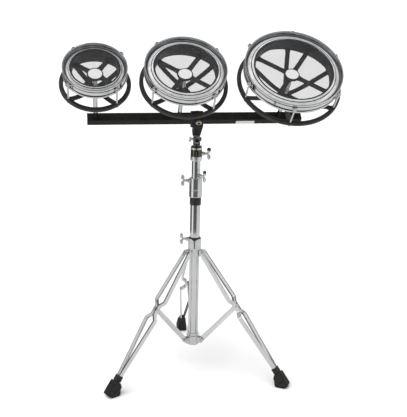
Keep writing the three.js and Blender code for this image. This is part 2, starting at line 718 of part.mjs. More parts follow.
function heightClamp() {
  const socket = BASE_TUBE_RADIUS + SEAT_GAP;
  const throat = UPPER_TUBE_RADIUS + RUNNING_GAP;
  const flangeTop = CLAMP_BOTTOM + CLAMP_FLANGE_HEIGHT;
  const shelf = BASE_TUBE_TOP + SEAT_GAP;
  const body = revolve([
    [socket, CLAMP_BOTTOM],
    [CLAMP_RADIUS, CLAMP_BOTTOM],
    [CLAMP_RADIUS, flangeTop],
    [CLAMP_WAIST_RADIUS, flangeTop],
    [CLAMP_WAIST_RADIUS, flangeTop + CLAMP_GROOVE_HEIGHT],
    [CLAMP_RADIUS, flangeTop + CLAMP_GROOVE_HEIGHT],
    [CLAMP_RADIUS, CLAMP_TOP],
    [throat, CLAMP_TOP],
    [throat, shelf],
    [socket, shelf],
  ], TUBE_SIDES);
  const boss = turned(screwBoss(CLAMP_RADIUS + BOSS_REACH, CLAMP_SCREW_Z), 180);
  const clear = cylinder(throat, shelf, CLAMP_TOP + OVERRUN, TUBE_SIDES);
  const cuts = clampCuts(CLAMP_RADIUS, flangeTop + CLAMP_GROOVE_HEIGHT, CLAMP_TOP, CLAMP_SCREW_Z, 180);
  return cut(join(body, boss), clear, ...cuts);
}

function heightBushing() {
  const top = CLAMP_BOTTOM - SEAT_GAP;
  return ring(BASE_TUBE_RADIUS + SEAT_GAP, SLEEVE_RADIUS, top - SLEEVE_HEIGHT, top, TUBE_SIDES);
}

function upperTube() {
  const inner = UPPER_TUBE_RADIUS - TUBE_WALL;
  return ring(inner, UPPER_TUBE_RADIUS, UPPER_TUBE_BOTTOM, UPPER_TUBE_TOP, TUBE_SIDES);
}

const memoryBottom = CLAMP_TOP + SEAT_GAP;
const memoryScrewZ = memoryBottom + MEMORY_HEIGHT / 2;

function memoryCollar() {
  const inner = UPPER_TUBE_RADIUS + SEAT_GAP;
  const top = memoryBottom + MEMORY_HEIGHT;
  const body = ring(inner, MEMORY_RADIUS, memoryBottom, top, TUBE_SIDES);
  const boss = turned(screwBoss(MEMORY_RADIUS + BOSS_REACH / 2, memoryScrewZ), MEMORY_SCREW_AZIMUTH);
  const clear = cylinder(inner, memoryBottom - OVERRUN, top + OVERRUN, TUBE_SIDES);
  const reach = MEMORY_RADIUS + BOSS_REACH + OVERRUN;
  const hole = turned(boreAlongX(SCREW_RADIUS + SEAT_GAP, 0, reach, memoryScrewZ), MEMORY_SCREW_AZIMUTH);
  const notch = standing(outline([
    [-MEMORY_NOTCH_WIDTH / 2, top + OVERRUN],
    [-MEMORY_NOTCH_WIDTH / 2, top],
    [0, top - MEMORY_NOTCH_DEPTH],
    [MEMORY_NOTCH_WIDTH / 2, top],
    [MEMORY_NOTCH_WIDTH / 2, top + OVERRUN],
  ]), MEMORY_RADIUS).translate(0, -MEMORY_RADIUS, 0);
  return cut(join(body, boss), clear, hole, notch);
}

function topClamp() {
  const inner = UPPER_TUBE_RADIUS + SEAT_GAP;
  const body = revolve([
    [inner, TOP_CLAMP_BOTTOM],
    [TOP_CLAMP_RADIUS - TOP_CLAMP_CHAMFER, TOP_CLAMP_BOTTOM],
    [TOP_CLAMP_RADIUS, TOP_CLAMP_BOTTOM + TOP_CLAMP_CHAMFER],
    [TOP_CLAMP_RADIUS, TOP_CLAMP_TOP],
    [inner, TOP_CLAMP_TOP],
  ], TUBE_SIDES);
  const boss = turned(screwBoss(TOP_CLAMP_RADIUS + BOSS_REACH, TOP_SCREW_Z), TOP_SCREW_AZIMUTH);
  const clear = cylinder(inner, TOP_CLAMP_BOTTOM, TOP_CLAMP_TOP, TUBE_SIDES);
  const slotBottom = TOP_CLAMP_BOTTOM + 2 * TOP_CLAMP_CHAMFER;
  const cuts = clampCuts(TOP_CLAMP_RADIUS, slotBottom, TOP_CLAMP_TOP, TOP_SCREW_Z, TOP_SCREW_AZIMUTH);
  return cut(join(body, boss), clear, ...cuts);
}

function topBushing() {
  const inner = STEM_RADIUS + RUNNING_GAP / 2;
  const sleeve = UPPER_TUBE_RADIUS - SEAT_GAP;
  const bottom = TOP_CLAMP_TOP + SEAT_GAP;
  return revolve([
    [inner, bottom - TOP_BUSHING_DROP],
    [sleeve, bottom - TOP_BUSHING_DROP],
    [sleeve, bottom],
    [TOP_BUSHING_RADIUS, bottom],
    [TOP_BUSHING_RADIUS, bottom + TOP_BUSHING_HEIGHT],
    [inner, bottom + TOP_BUSHING_HEIGHT],
  ], TUBE_SIDES);
}

// Tilter: a stem with a clevis, a tongue that tilts in it, a bolt and a wing nut
const clevisTurn = Math.PI / 2;

function acrossX(shape, thickness) {
  return standing(shape, thickness).rotateZ(clevisTurn);
}

function uprightEye(bottom, radius) {
  const shape = new THREE.Shape();
  shape.moveTo(radius, bottom);
  shape.lineTo(radius, 0);
  shape.absarc(0, 0, radius, 0, Math.PI, false);
  shape.lineTo(-radius, bottom);
  return shape;
}

function tilterStem() {
  const clevis = acrossX(uprightEye(-CLEVIS_BASE_DROP, CLEVIS_EYE_RADIUS), CLEVIS_WIDTH);
  const slotWidth = TONGUE_WIDTH + 2 * RUNNING_GAP;
  const slotBottom = -CLEVIS_EYE_RADIUS - RUNNING_GAP;
  const slot = block(slotWidth, 2 * CLEVIS_EYE_RADIUS + OVERRUN, slotBottom, CLEVIS_EYE_RADIUS + OVERRUN);
  const stem = cylinder(STEM_RADIUS, -CLEVIS_BASE_DROP - STEM_DROP, -CLEVIS_BASE_DROP + SEAT_GAP, TUBE_SIDES);
  const half = CLEVIS_WIDTH / 2 + OVERRUN;
  return cut(join(clevis, stem), slot, boreAlongX(TILTER_BOLT_RADIUS + SEAT_GAP, -half, half));
}

function tilterBolt() {
  const half = CLEVIS_WIDTH / 2;
  const wingSeat = half + SEAT_GAP;
  const shank = cylinder(TILTER_BOLT_RADIUS, -half, wingSeat + KNOB_LENGTH / 2, PIN_SIDES);
  const knob = cylinder(KNOB_RADIUS, wingSeat, wingSeat + KNOB_LENGTH, LUG_SIDES, KNOB_RADIUS - SEAT_GAP);
  return join(shank, knob).rotateY(Math.PI / 2);
}

function tilterHead() {
  const tongue = acrossX(uprightEye(-SEAT_GAP, TONGUE_EYE_RADIUS), TONGUE_WIDTH);
  const halfTongue = TONGUE_WIDTH / 2;
  const heel = cylinder(TONGUE_EYE_RADIUS, -halfTongue, halfTongue, TUBE_SIDES).rotateY(Math.PI / 2);
  const web = block(TONGUE_WIDTH, 2 * TONGUE_EYE_RADIUS, 0, HEAD_PLATE_RISE + SEAT_GAP);
  const plateTop = HEAD_PLATE_RISE + HEAD_PLATE_HEIGHT;
  const cap = block(HEAD_PLATE_WIDTH, HEAD_PLATE_DEPTH, HEAD_PLATE_RISE, plateTop);
  const half = halfTongue + OVERRUN;
  return cut(join(heel, tongue, web, cap), boreAlongX(TILTER_BOLT_RADIUS + RUNNING_GAP / 2, -half, half));
}

// Rail, bracket and posts, in the tilted frame with Z = 0 at the hinge
const railUnder = RAIL_RISE - RAIL_HEIGHT;
const railMiddle = RAIL_RISE - RAIL_HEIGHT / 2;
const headTop = HEAD_PLATE_RISE + HEAD_PLATE_HEIGHT;

function roundedRectangle(width, height, corner) {
  const [x, y] = [width / 2, height / 2];
  const shape = new THREE.Shape();
  shape.moveTo(corner - x, -y);
  shape.lineTo(x - corner, -y);
  shape.quadraticCurveTo(x, -y, x, corner - y);
  shape.lineTo(x, y - corner);
  shape.quadraticCurveTo(x, y, x - corner, y);
  shape.lineTo(corner - x, y);
  shape.quadraticCurveTo(-x, y, -x, y - corner);
  shape.lineTo(-x, corner - y);
  shape.quadraticCurveTo(-x, -y, corner - x, -y);
  return shape;
}

// A bar of the given section lying along X
function alongX(shape, from, to) {
  const bar = new THREE.ExtrudeGeometry(shape, { depth: to - from, bevelEnabled: false, curveSegments: 1 });
  return bar.rotateX(Math.PI / 2).rotateZ(Math.PI / 2).translate(from, 0, 0);
}

function acrossRail(radius, from, to, sides) {
  const bolt = cylinder(radius, from, to, sides).rotateX(Math.PI / 2);
  return bolt.translate(BRACKET_BOLT_SHIFT, 0, railMiddle + BRACKET_BOLT_RISE);
}

function rail() {
  const section = roundedRectangle(RAIL_DEPTH, RAIL_HEIGHT, RAIL_CORNER);
  section.holes.push(roundedRectangle(
    RAIL_DEPTH - 2 * RAIL_WALL,
    RAIL_HEIGHT - 2 * RAIL_WALL,
    RAIL_CORNER / 2,
  ));
  const bar = alongX(section, railLeftEnd, railRightEnd).translate(0, 0, railMiddle);
  const studRadius = boreRadius(POST_STUD_RADIUS + SEAT_GAP, PIN_SIDES);
  const studHole = cylinder(studRadius, railUnder - OVERRUN, RAIL_RISE + OVERRUN, PIN_SIDES);
  const studHoles = drums.map((drum) => studHole.clone().translate(drum.place, 0, 0));
  const boltRadius = boreRadius(BRACKET_BOLT_RADIUS + SEAT_GAP, PIN_SIDES);
  const boltHole = acrossRail(boltRadius, -RAIL_DEPTH / 2 - OVERRUN, RAIL_DEPTH / 2 + OVERRUN, PIN_SIDES);
  return cut(bar, boltHole, ...studHoles);
}

function taperedBlock(bottomWidth, bottomDepth, topWidth, topDepth, bottom, top) {
  const shape = block(1, 1, bottom, top);
  const position = shape.getAttribute('position');
  for (let i = 0; i < position.count; i += 1) {
    const high = position.getZ(i) > (bottom + top) / 2;
    position.setX(i, position.getX(i) * (high ? topWidth : bottomWidth));
    position.setY(i, position.getY(i) * (high ? topDepth : bottomDepth));
  }
  return shape;
}

function railBracket() {
  const wrapDepth = RAIL_DEPTH + 2 * (BRACKET_WALL + SEAT_GAP);
  const wrapBottom = railUnder - BRACKET_FLOOR - SEAT_GAP;
  const wrapTop = RAIL_RISE + BRACKET_WALL + SEAT_GAP;
  const wrapSection = roundedRectangle(wrapDepth, wrapTop - wrapBottom, RAIL_CORNER);
  const left = BRACKET_SHIFT - BRACKET_LENGTH / 2;
  const wrap = alongX(wrapSection, left, left + BRACKET_LENGTH).translate(0, 0, (wrapBottom + wrapTop) / 2);
  const neck = taperedBlock(
    BLOCK_BOTTOM_WIDTH,
    BLOCK_BOTTOM_DEPTH,
    BLOCK_TOP_WIDTH,
    BLOCK_TOP_DEPTH,
    headTop + SEAT_GAP,
    wrapBottom + BRACKET_WALL / 2,
  ).translate(BLOCK_SHIFT, 0, 0);
  const tunnel = alongX(
    roundedRectangle(RAIL_DEPTH + 2 * SEAT_GAP, RAIL_HEIGHT + 2 * SEAT_GAP, RAIL_CORNER),
    left - OVERRUN,
    left + BRACKET_LENGTH + OVERRUN,
  ).translate(0, 0, railMiddle);
  const boltRadius = boreRadius(BRACKET_BOLT_RADIUS + SEAT_GAP, PIN_SIDES);
  const boltHole = acrossRail(boltRadius, -wrapDepth / 2 - OVERRUN, wrapDepth / 2 + OVERRUN, PIN_SIDES);
  return cut(join(wrap, neck), tunnel, boltHole);
}

function bracketBolt() {
  const face = RAIL_DEPTH / 2 + BRACKET_WALL + 2 * SEAT_GAP;
  const nutEnd = face + BRACKET_NUT_HEIGHT;
  const shank = acrossRail(BRACKET_BOLT_RADIUS, -nutEnd, face + OVERRUN, PIN_SIDES);
  const head = acrossRail(BRACKET_BOLT_HEAD_RADIUS, face, face + BRACKET_BOLT_HEAD_HEIGHT, TUBE_SIDES);
  const nut = acrossRail(BRACKET_NUT_RADIUS, -nutEnd, -face, HEX_SIDES);
  return join(shank, head, nut);
}

const studBore = boreRadius(POST_STUD_RADIUS + SEAT_GAP, PIN_SIDES);
const nutFlangeTop = SEAT_GAP + NUT_FLANGE_HEIGHT;
const nutTop = nutFlangeTop + NUT_HEIGHT;

// The flanged nut that locks a post on the rail
function postNut() {
  const flange = cylinder(NUT_FLANGE_RADIUS, SEAT_GAP, nutFlangeTop, LUG_SIDES);
  const hexagon = cylinder(NUT_RADIUS, SEAT_GAP, nutTop, HEX_SIDES);
  return cut(join(flange, hexagon), cylinder(studBore, 0, nutTop + OVERRUN, PIN_SIDES));
}

// Drum pieces, with Z = 0 at the rail's top face
const filmUnder = HEAD_HEIGHT - FILM_THICKNESS;
const rimTop = filmUnder - SEAT_GAP;
const rimBottom = rimTop - RIM_DEPTH;
const armTop = rimBottom + UPPER_ARM_THICKNESS;
const upperBossBottom = rimBottom - UPPER_BOSS_DROP;
const lipTop = HEAD_HEIGHT + HOOP_LIP_RISE;
const hoopBottom = lipTop - HOOP_DEPTH;
const collarBottom = HEAD_HEIGHT - COLLAR_DROP;
const fleshTop = collarBottom - FILM_THICKNESS - SEAT_GAP;
const seatBottom = fleshTop + SEAT_GAP;
const earTop = HEAD_HEIGHT - EAR_DROP;
const earBottom = earTop - EAR_THICKNESS;
const ringBottom = RING_HEIGHT - RING_THICKNESS / 2;
const ringTop = RING_HEIGHT + RING_THICKNESS / 2;

function drumRadii(drum) {
  const rod = drum.hoopRadius + ROD_OUTSET;
  const hoopWall = drum.hoopRadius - HOOP_LIP_WIDTH + HOOP_WALL;
  const hoopInner = drum.hoopRadius - HOOP_LIP_WIDTH;
  const fleshOuter = hoopInner - RUNNING_GAP - SEAT_GAP;
  const seatInner = hoopInner - HOOP_SEAT_WIDTH;
  const filmOuter = seatInner - RUNNING_GAP;
  return { rod, hoopWall, hoopInner, fleshOuter, seatInner, filmOuter, ring: rod + RING_MARGIN };
}

function armAngles(drum) {
  return Array.from({ length: drum.arms }, (_, i) => drum.armStart + FULL_TURN * i / drum.arms);
}

function post(drum) {
  const hubTop = upperBossBottom - SEAT_GAP;
  const under = -RAIL_HEIGHT - SEAT_GAP;
  const stud = cylinder(POST_STUD_RADIUS, -RAIL_HEIGHT - POST_STUD_DROP, nutTop + OVERRUN, PIN_SIDES);
  const nut = cylinder(NUT_RADIUS, under - NUT_HEIGHT, under, HEX_SIDES);
  const shaft = cylinder(POST_RADIUS, nutTop + SEAT_GAP, hubTop, POST_SIDES);
  const pin = cylinder(POST_PIN_RADIUS, hubTop - OVERRUN, armTop, PIN_SIDES);
  return join(stud, nut, shaft, pin);
}

function upperWheel(drum) {
  const outer = drum.edgeRadius;
  const inner = outer - RIM_WALL;
  const rim = revolve([
    [inner, rimBottom],
    [outer, rimBottom],
    [outer, rimTop - RIM_EDGE_HEIGHT / 2],
    [outer - RIM_EDGE_WIDTH, rimTop],
    [inner, rimTop - RIM_EDGE_HEIGHT],
  ], drum.sides);
  const reach = (inner + outer) / 2;
  const arm = block(reach, UPPER_ARM_WIDTH, rimBottom, armTop).translate(reach / 2, 0, 0);
  const turns = Array.from({ length: UPPER_ARMS }, (_, i) => UPPER_ARM_START + FULL_TURN * i / UPPER_ARMS);
  const disc = cylinder(UPPER_DISC_RADIUS, rimBottom, armTop, TUBE_SIDES);
  const boss = cylinder(UPPER_BOSS_RADIUS, upperBossBottom, (rimBottom + armTop) / 2, LUG_SIDES);
  const bore = boreRadius(POST_PIN_RADIUS + RUNNING_GAP / 2, PIN_SIDES);
  const hole = cylinder(bore, upperBossBottom - OVERRUN, armTop + OVERRUN, PIN_SIDES);
  return cut(join(rim, disc, boss, ...turns.map((degrees) => turned(arm, degrees))), hole);
}

function headFilm(drum) {
  const { filmOuter } = drumRadii(drum);
  return revolve([
    [0, filmUnder],
    [drum.edgeRadius, filmUnder],
    [filmOuter, collarBottom - FILM_THICKNESS],
    [filmOuter, collarBottom],
    [drum.edgeRadius, HEAD_HEIGHT],
    [0, HEAD_HEIGHT],
  ], drum.sides);
}

function fleshHoop(drum) {
  const { fleshOuter } = drumRadii(drum);
  const inner = fleshOuter - FLESH_HOOP_WIDTH;
  return ring(inner, fleshOuter, fleshTop - FLESH_HOOP_HEIGHT, fleshTop, drum.sides / 2);
}

function hoop(drum) {
  const { rod, hoopWall, hoopInner, seatInner } = drumRadii(drum);
  const body = revolve([
    [hoopInner, hoopBottom],
    [drum.hoopRadius, hoopBottom],
    [hoopWall, hoopBottom + HOOP_BEAD_HEIGHT],
    [hoopWall, lipTop - HOOP_LIP_HEIGHT],
    [drum.hoopRadius, lipTop],
    [hoopInner, lipTop],
    [hoopInner, seatBottom + HOOP_SEAT_THICKNESS],
    [seatInner, seatBottom],
    [hoopInner, seatBottom],
  ], drum.sides);
  const earFrom = hoopInner + SEAT_GAP / 2;
  const earTo = rod + EAR_MARGIN;
  const ear = block(earTo - earFrom, EAR_WIDTH, earBottom, earTop).translate((earFrom + earTo) / 2, 0, 0);
  const tab = join(ear, tensionRod().translate(rod, 0, 0));
  return join(body, ...armAngles(drum).map((degrees) => turned(tab, degrees)));
}

// The long bolt from an ear of the hoop down through the lower wheel's ring
function tensionRod() {
  const nutUpper = ringBottom - SEAT_GAP;
  const shank = cylinder(ROD_RADIUS, nutUpper - ROD_HEAD_HEIGHT, earTop, BOLT_SIDES);
  const head = cylinder(ROD_HEAD_RADIUS, (earBottom + earTop) / 2, earTop + ROD_HEAD_HEIGHT, HEX_SIDES);
  const nut = cylinder(ROD_HEAD_RADIUS, nutUpper - ROD_HEAD_HEIGHT, nutUpper, HEX_SIDES);
  return join(shank, head, nut);
}

// A dished arm: its plan flares at both ends, and its side view curves down to the boss
function dishedArm(drum, from, to, bossTop) {
  const half = ARM_WIDTH / 2;
  const wide = half + ARM_FLARE;
  const rise = ringTop - RING_CHAMFER;
  const plan = outline([
    [from, -half], [to - ARM_FLARE_LENGTH, -half], [to, -wide],
    [to, wide], [to - ARM_FLARE_LENGTH, half], [from, half],
  ]);
  const side = new THREE.Shape();
  const bend = to - 2 * drum.dish;
  side.moveTo(from, bossTop);
  side.lineTo(Math.max(bend, from + ARM_THICKNESS) / 2, bossTop);
  side.quadraticCurveTo(bend, bossTop, to, rise);
  side.lineTo(to, ringBottom);
  side.lineTo(to - ROD_HEAD_RADIUS - RUNNING_GAP, ringBottom);
  side.quadraticCurveTo(bend + ARM_THICKNESS / 2, bossTop - ARM_THICKNESS, from, bossTop - ARM_THICKNESS);
  const tall = 2 * (rise + OVERRUN);
  return common(plate(plan, tall), standing(side, 2 * wide + OVERRUN, 0, BEND_STEPS));
}

function lowerWheel(drum) {
  const { rod, ring: outer } = drumRadii(drum);
  const inner = outer - RING_WIDTH;
  const band = revolve([
    [inner, ringBottom],
    [outer, ringBottom],
    [outer, ringTop - RING_CHAMFER],
    [outer - RING_CHAMFER, ringTop],
    [inner, ringTop],
  ], drum.sides);
  const bossTop = RING_HEIGHT - drum.dish + LOWER_BOSS_HEIGHT / 2;
  const bossBottom = bossTop - LOWER_BOSS_HEIGHT;
  const boss = cylinder(LOWER_BOSS_RADIUS, bossBottom, bossTop, LUG_SIDES, LOWER_BOSS_RADIUS - RING_CHAMFER);
  const armRoot = POST_RADIUS + OVERRUN;
  const arm = dishedArm(drum, armRoot, rod, bossTop - ARM_THICKNESS / 2);
  const rodBore = boreRadius(ROD_RADIUS + SEAT_GAP, BOLT_SIDES);
  const rodHole = cylinder(rodBore, ringBottom - OVERRUN, ringTop + OVERRUN, BOLT_SIDES).translate(rod, 0, 0);
  const postBore = boreRadius(POST_RADIUS + RUNNING_GAP / 2, POST_SIDES);
  const postHole = cylinder(postBore, bossBottom - OVERRUN, ringTop + OVERRUN, POST_SIDES);
  const angles = armAngles(drum);
  const arms = angles.map((degrees) => turned(arm, degrees));
  return cut(join(band, boss, ...arms), postHole, ...angles.map((degrees) => turned(rodHole, degrees)));
}

// Assembly
const model = new THREE.Group();

function addPiece(parent, name, geometry, material) {
  const mesh = new THREE.Mesh(toGeometry(toSolid(geometry)), material);
  mesh.geometry.computeVertexNormals();
  mesh.name = name;
  parent.add(mesh);
  return mesh;
}

function addGroup(parent, name, x = 0, y = 0, z = 0) {
  const group = new THREE.Group();
  group.name = name;
  group.position.set(x, y, z);
  parent.add(group);
  return group;
}

function addScrew(parent, name, azimuth, z, tip, seat) {
  const turn = addGroup(parent, `${name}_turn`, 0, 0, z);
  turn.rotation.z = radians(azimuth);
  addPiece(turn, name, wingScrew(tip, seat), chrome());
}

function addTripod() {
  addPiece(model, 'base_tube', baseTube(), chrome());
  addPiece(model, 'lower_hub', lowerHub(), chrome());
  addPiece(model, 'height_clamp', heightClamp(), chrome());
  addPiece(model, 'height_bushing', heightBushing(), blackPlastic());
  const clampSeat = CLAMP_RADIUS + BOSS_REACH;
  addScrew(model, 'height_screw', 180, CLAMP_SCREW_Z, UPPER_TUBE_RADIUS + RUNNING_GAP, clampSeat);
  const hub = addGroup(model, 'hub_slide', 0, 0, LEG_PIVOT_Z);
  addPiece(hub, 'leg_hub', legHub(), chrome());
  addPiece(hub, 'leg_hub_bushing', legHubBushing(), blackPlastic());
  const hubSeat = LEG_HUB_RADIUS + BOSS_REACH;
  addScrew(hub, 'hub_screw', 180, HUB_SCREW_RISE, hubBushingOuter + SEAT_GAP, hubSeat);
  LEG_AZIMUTHS.forEach((azimuth, i) => {
    const side = addGroup(hub, `leg_${i + 1}_side`);
    side.rotation.z = radians(azimuth);
    const leg = addGroup(side, `leg_${i + 1}_fold`, LEG_PIVOT_RADIUS);
    leg.rotation.y = -legSplay;
    addPiece(leg, `leg_${i + 1}_near_strip`, legStrip(), chrome());
    addPiece(leg, `leg_${i + 1}_far_strip`, legStrip().scale(1, -1, 1), chrome());
    addPiece(leg, `leg_${i + 1}_foot`, legFoot(), rubber());
    addPiece(leg, `leg_${i + 1}_pin`, legPin(), chrome());
    const foot = addGroup(model, `brace_${i + 1}_side`);
    foot.rotation.z = radians(azimuth);
    const link = addGroup(foot, `brace_${i + 1}_fold`, BRACE_PIVOT_RADIUS, 0, BRACE_PIVOT_Z);
    link.rotation.y = braceSplay;
    addPiece(link, `brace_${i + 1}`, brace(), chrome());
  });
}

function addMast() {
  const mast = addGroup(model, 'mast_slide');
  addPiece(mast, 'upper_tube', upperTube(), chrome());
  addPiece(mast, 'memory_collar', memoryCollar(), chrome());
  addPiece(mast, 'top_clamp', topClamp(), chrome());
  addPiece(mast, 'top_bushing', topBushing(), blackPlastic());
  const tip = UPPER_TUBE_RADIUS + SEAT_GAP;
  const memorySeat = MEMORY_RADIUS + BOSS_REACH / 2;
  addScrew(mast, 'memory_screw', MEMORY_SCREW_AZIMUTH, memoryScrewZ, tip, memorySeat);
  addScrew(mast, 'top_screw', TOP_SCREW_AZIMUTH, TOP_SCREW_Z, tip, TOP_CLAMP_RADIUS + BOSS_REACH);
  return mast;
}

function addTilter(mast) {
  const stem = addGroup(mast, 'stem_turn', 0, 0, HINGE_Z);
  stem.rotation.z = radians(TILTER_YAW);
  addPiece(stem, 'tilter_stem', tilterStem(), chrome());
  addPiece(stem, 'tilter_bolt', tilterBolt(), blackPlastic());
  const wing = addGroup(stem, 'tilter_wing_turn');
  wing.rotation.z = Math.PI;
  const seat = CLEVIS_WIDTH / 2;
  addPiece(wing, 'tilter_wing', wingScrew(seat + SEAT_GAP, seat, SMALL_WING_SHARE), chrome());
  const head = addGroup(stem, 'tilt');
  head.rotation.x = radians(TILT);
  addPiece(head, 'tilter_head', tilterHead(), chrome());
  const carrier = addGroup(head, 'carrier');
  carrier.rotation.z = radians(RAIL_SKEW);
  return carrier;
}

function addRail(carrier) {
  addPiece(carrier, 'rail_bracket', railBracket(), blackPaint());
  addPiece(carrier, 'bracket_bolt', bracketBolt(), brass());
  addPiece(carrier, 'rail', rail(), blackPaint());
}

function addDrum(carrier, drum) {
  const centre = addGroup(carrier, `${drum.name}_turn`, drum.place, 0, RAIL_RISE);
  addPiece(centre, `${drum.name}_post`, post(drum), chrome());
  addPiece(centre, `${drum.name}_post_nut`, postNut(), blackPaint());
  addPiece(centre, `${drum.name}_upper_wheel`, upperWheel(drum), blackCasting());
  addPiece(centre, `${drum.name}_head`, headFilm(drum), clearFilm());
  addPiece(centre, `${drum.name}_flesh_hoop`, fleshHoop(drum), brushedAluminium());
  addPiece(centre, `${drum.name}_hoop`, hoop(drum), chrome());
  addPiece(centre, `${drum.name}_lower_wheel`, lowerWheel(drum), blackCasting());
}

addTripod();
const carrier = addTilter(addMast());
addRail(carrier);
drums.forEach((drum) => addDrum(carrier, drum));

// The origin is at the middle of the footprint, on the floor
const bounds = new THREE.Box3().setFromObject(model, true);
const middle = bounds.getCenter(new THREE.Vector3());
model.position.set(-middle.x, -middle.y, -bounds.min.z);

export default model;
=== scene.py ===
# %% [markdown]
# # Three tunable drums on one tripod stand
# The object is a set of three shallow drums without shells. Each one is tuned by turning it on a
# threaded post. The posts stand on a tilted rail, a clamp joins the rail to a telescopic column, and
# the column stands on a folding tripod.
#
# The solids and joints are not made here. This lesson dresses them: it opens the packed
# model as a fixed frame, and builds each piece again with finer shapes and real finishes, at the
# place where the frame has it.

# %% Open the fixed frame
import json
import math

import bmesh
import bpy
from mathutils import Matrix, Vector


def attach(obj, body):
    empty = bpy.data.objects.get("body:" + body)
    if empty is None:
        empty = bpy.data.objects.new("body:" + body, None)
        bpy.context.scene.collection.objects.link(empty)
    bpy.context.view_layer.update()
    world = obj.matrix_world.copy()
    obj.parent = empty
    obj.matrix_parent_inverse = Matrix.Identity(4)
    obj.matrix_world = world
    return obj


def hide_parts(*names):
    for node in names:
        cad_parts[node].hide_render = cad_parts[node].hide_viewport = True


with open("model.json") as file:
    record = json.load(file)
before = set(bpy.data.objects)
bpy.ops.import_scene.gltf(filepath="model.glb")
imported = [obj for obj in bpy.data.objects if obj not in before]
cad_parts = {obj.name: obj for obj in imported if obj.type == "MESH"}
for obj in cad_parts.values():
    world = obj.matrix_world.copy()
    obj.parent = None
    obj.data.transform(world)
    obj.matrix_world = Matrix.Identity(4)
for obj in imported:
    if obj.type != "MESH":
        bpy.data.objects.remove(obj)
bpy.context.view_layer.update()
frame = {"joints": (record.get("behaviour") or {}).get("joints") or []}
joints = {joint["name"]: joint for joint in frame["joints"]}

# %% [markdown]
# ## Places
# Every piece is drawn in millimetres in its own upright axes, because that is how a maker measures
# it. A matrix then takes it to its place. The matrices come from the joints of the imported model, so
# a piece can't drift away from the solid that it dresses.

# %% Where each piece stands
MM = 0.001
UP = Vector((0, 0, 1))


def stand_at(origin, along_x, along_z=UP):
    """The matrix from a piece's own axes to its place in the model."""
    z = Vector(along_z).normalized()
    x = Vector(along_x)
    x = (x - z * x.dot(z)).normalized()
    turn = Matrix((x, z.cross(x), z)).transposed().to_4x4()
    return Matrix.Translation(Vector(origin)) @ turn


def pivot(name):
    return Vector(joints[name]["pos_m"])


def axis(name):
    return Vector(joints[name]["axis"])


hinge = pivot("stem_turn")
column_foot = Vector((hinge.x, hinge.y, 0))
column_place = stand_at(column_foot, (1, 0, 0))
lean = axis("small_turn")
rail_run = pivot("large_turn") - pivot("small_turn")
rail_place = stand_at(hinge, rail_run, lean)
tilter_place = stand_at(hinge, axis("tilt"), lean)
stem_place = stand_at(hinge, axis("tilt"))
drum_places = {name: stand_at(pivot(f"{name}_turn"), rail_run, lean) for name in ("small", "medium", "large")}
print("column at", [round(x, 4) for x in column_foot], "lean", round(math.degrees(lean.angle(UP)), 2))

# %% [markdown]
# ## Camera
# The photograph was taken from the player's side, at about the height of the drums, and it looks
# down by some 15 degrees. A lens of 60 mm gives the same mild perspective: what is near comes out a
# little larger than it would through a longer lens.

# %% Camera
VIEW_DISTANCE = 2.190
VIEW_DROP = math.radians(14.6)
VIEW_ROLL = math.radians(1.32)
VIEW_TARGET = column_foot + Vector((0.026, 0, 0.55206))
FOCAL_PIXELS = 693.74
PHOTO_HEIGHT = 417
SENSOR = 36

camera_data = bpy.data.cameras.new("camera")
camera_data.sensor_width = SENSOR
camera_data.lens = FOCAL_PIXELS / PHOTO_HEIGHT * SENSOR
camera = bpy.data.objects.new("camera", camera_data)
towards_camera = Vector((0, -math.cos(VIEW_DROP), math.sin(VIEW_DROP)))
camera.location = VIEW_TARGET + towards_camera * VIEW_DISTANCE
level = (-towards_camera).to_track_quat("-Z", "Y").to_matrix().to_4x4()
camera.rotation_euler = (level @ Matrix.Rotation(VIEW_ROLL, 4, "Z")).to_euler()
bpy.context.scene.collection.objects.link(camera)
bpy.context.scene.camera = camera
print("lens", round(camera_data.lens, 2), "mm")

# %% [markdown]
# ## Shop tools
# Nearly all of the hardware is either turned on a lathe, pressed from plate, or cast. So there are
# three tools: one turns a profile round an axis, one gives a flat outline a thickness with softened
# edges, and one skins a row of cross-sections. All of them begin with an outline. A bevel modifier
# could round its corners later, but rounded in the outline they stay just where the drawing has them.

# %% Outlines with rounded corners
ROUND_STEPS = 4
ROUND_LIMIT = 0.48
STRAIGHT = 1e-4
GUARD = 0.8


def rounded(points, radius, closed=True):
    """Round the corners of an outline. A point may carry its own radius as a third number."""
    result = []
    for i, point in enumerate(points):
        here = Vector(point[:2])
        size = point[2] if len(point) > 2 else radius
        back = Vector(points[i - 1][:2]) - here
        ahead = Vector(points[(i + 1) % len(points)][:2]) - here
        is_end = not closed and i in (0, len(points) - 1)
        room = ROUND_LIMIT * min(back.length, ahead.length)
        reach = 0 if is_end else min(size / math.tan(back.angle(ahead) / 2), room)
        if reach < STRAIGHT:
            result.append(here)
            continue
        start, end = here + back.normalized() * reach, here + ahead.normalized() * reach
        for k in range(ROUND_STEPS + 1):
            t = k / ROUND_STEPS
            result.append(start * (1 - t) ** 2 + here * 2 * t * (1 - t) + end * t ** 2)
    return result


def drawn_in(points, amount):
    """Move a closed anticlockwise outline inwards by an amount."""
    result = []
    for i, here in enumerate(points):
        before = (here - points[i - 1]).normalized()
        after = (points[(i + 1) % len(points)] - here).normalized()
        left, right = Vector((-before.y, before.x)), Vector((-after.y, after.x))
        result.append(here + (left + right) * (amount / (1 + left.dot(right))))
    return result


def guarded(points, closed=True):
    """Add a point just inside both ends of each long straight run, so that wear stays at the corners."""
    result = []
    for i, here in enumerate(points):
        here = Vector(here)
        result.append(here)
        ahead = Vector(points[(i + 1) % len(points)])
        run = ahead - here
        if run.length > 4 * GUARD and (closed or i < len(points) - 1):
            result += [here + run.normalized() * GUARD, ahead - run.normalized() * GUARD]
    return result


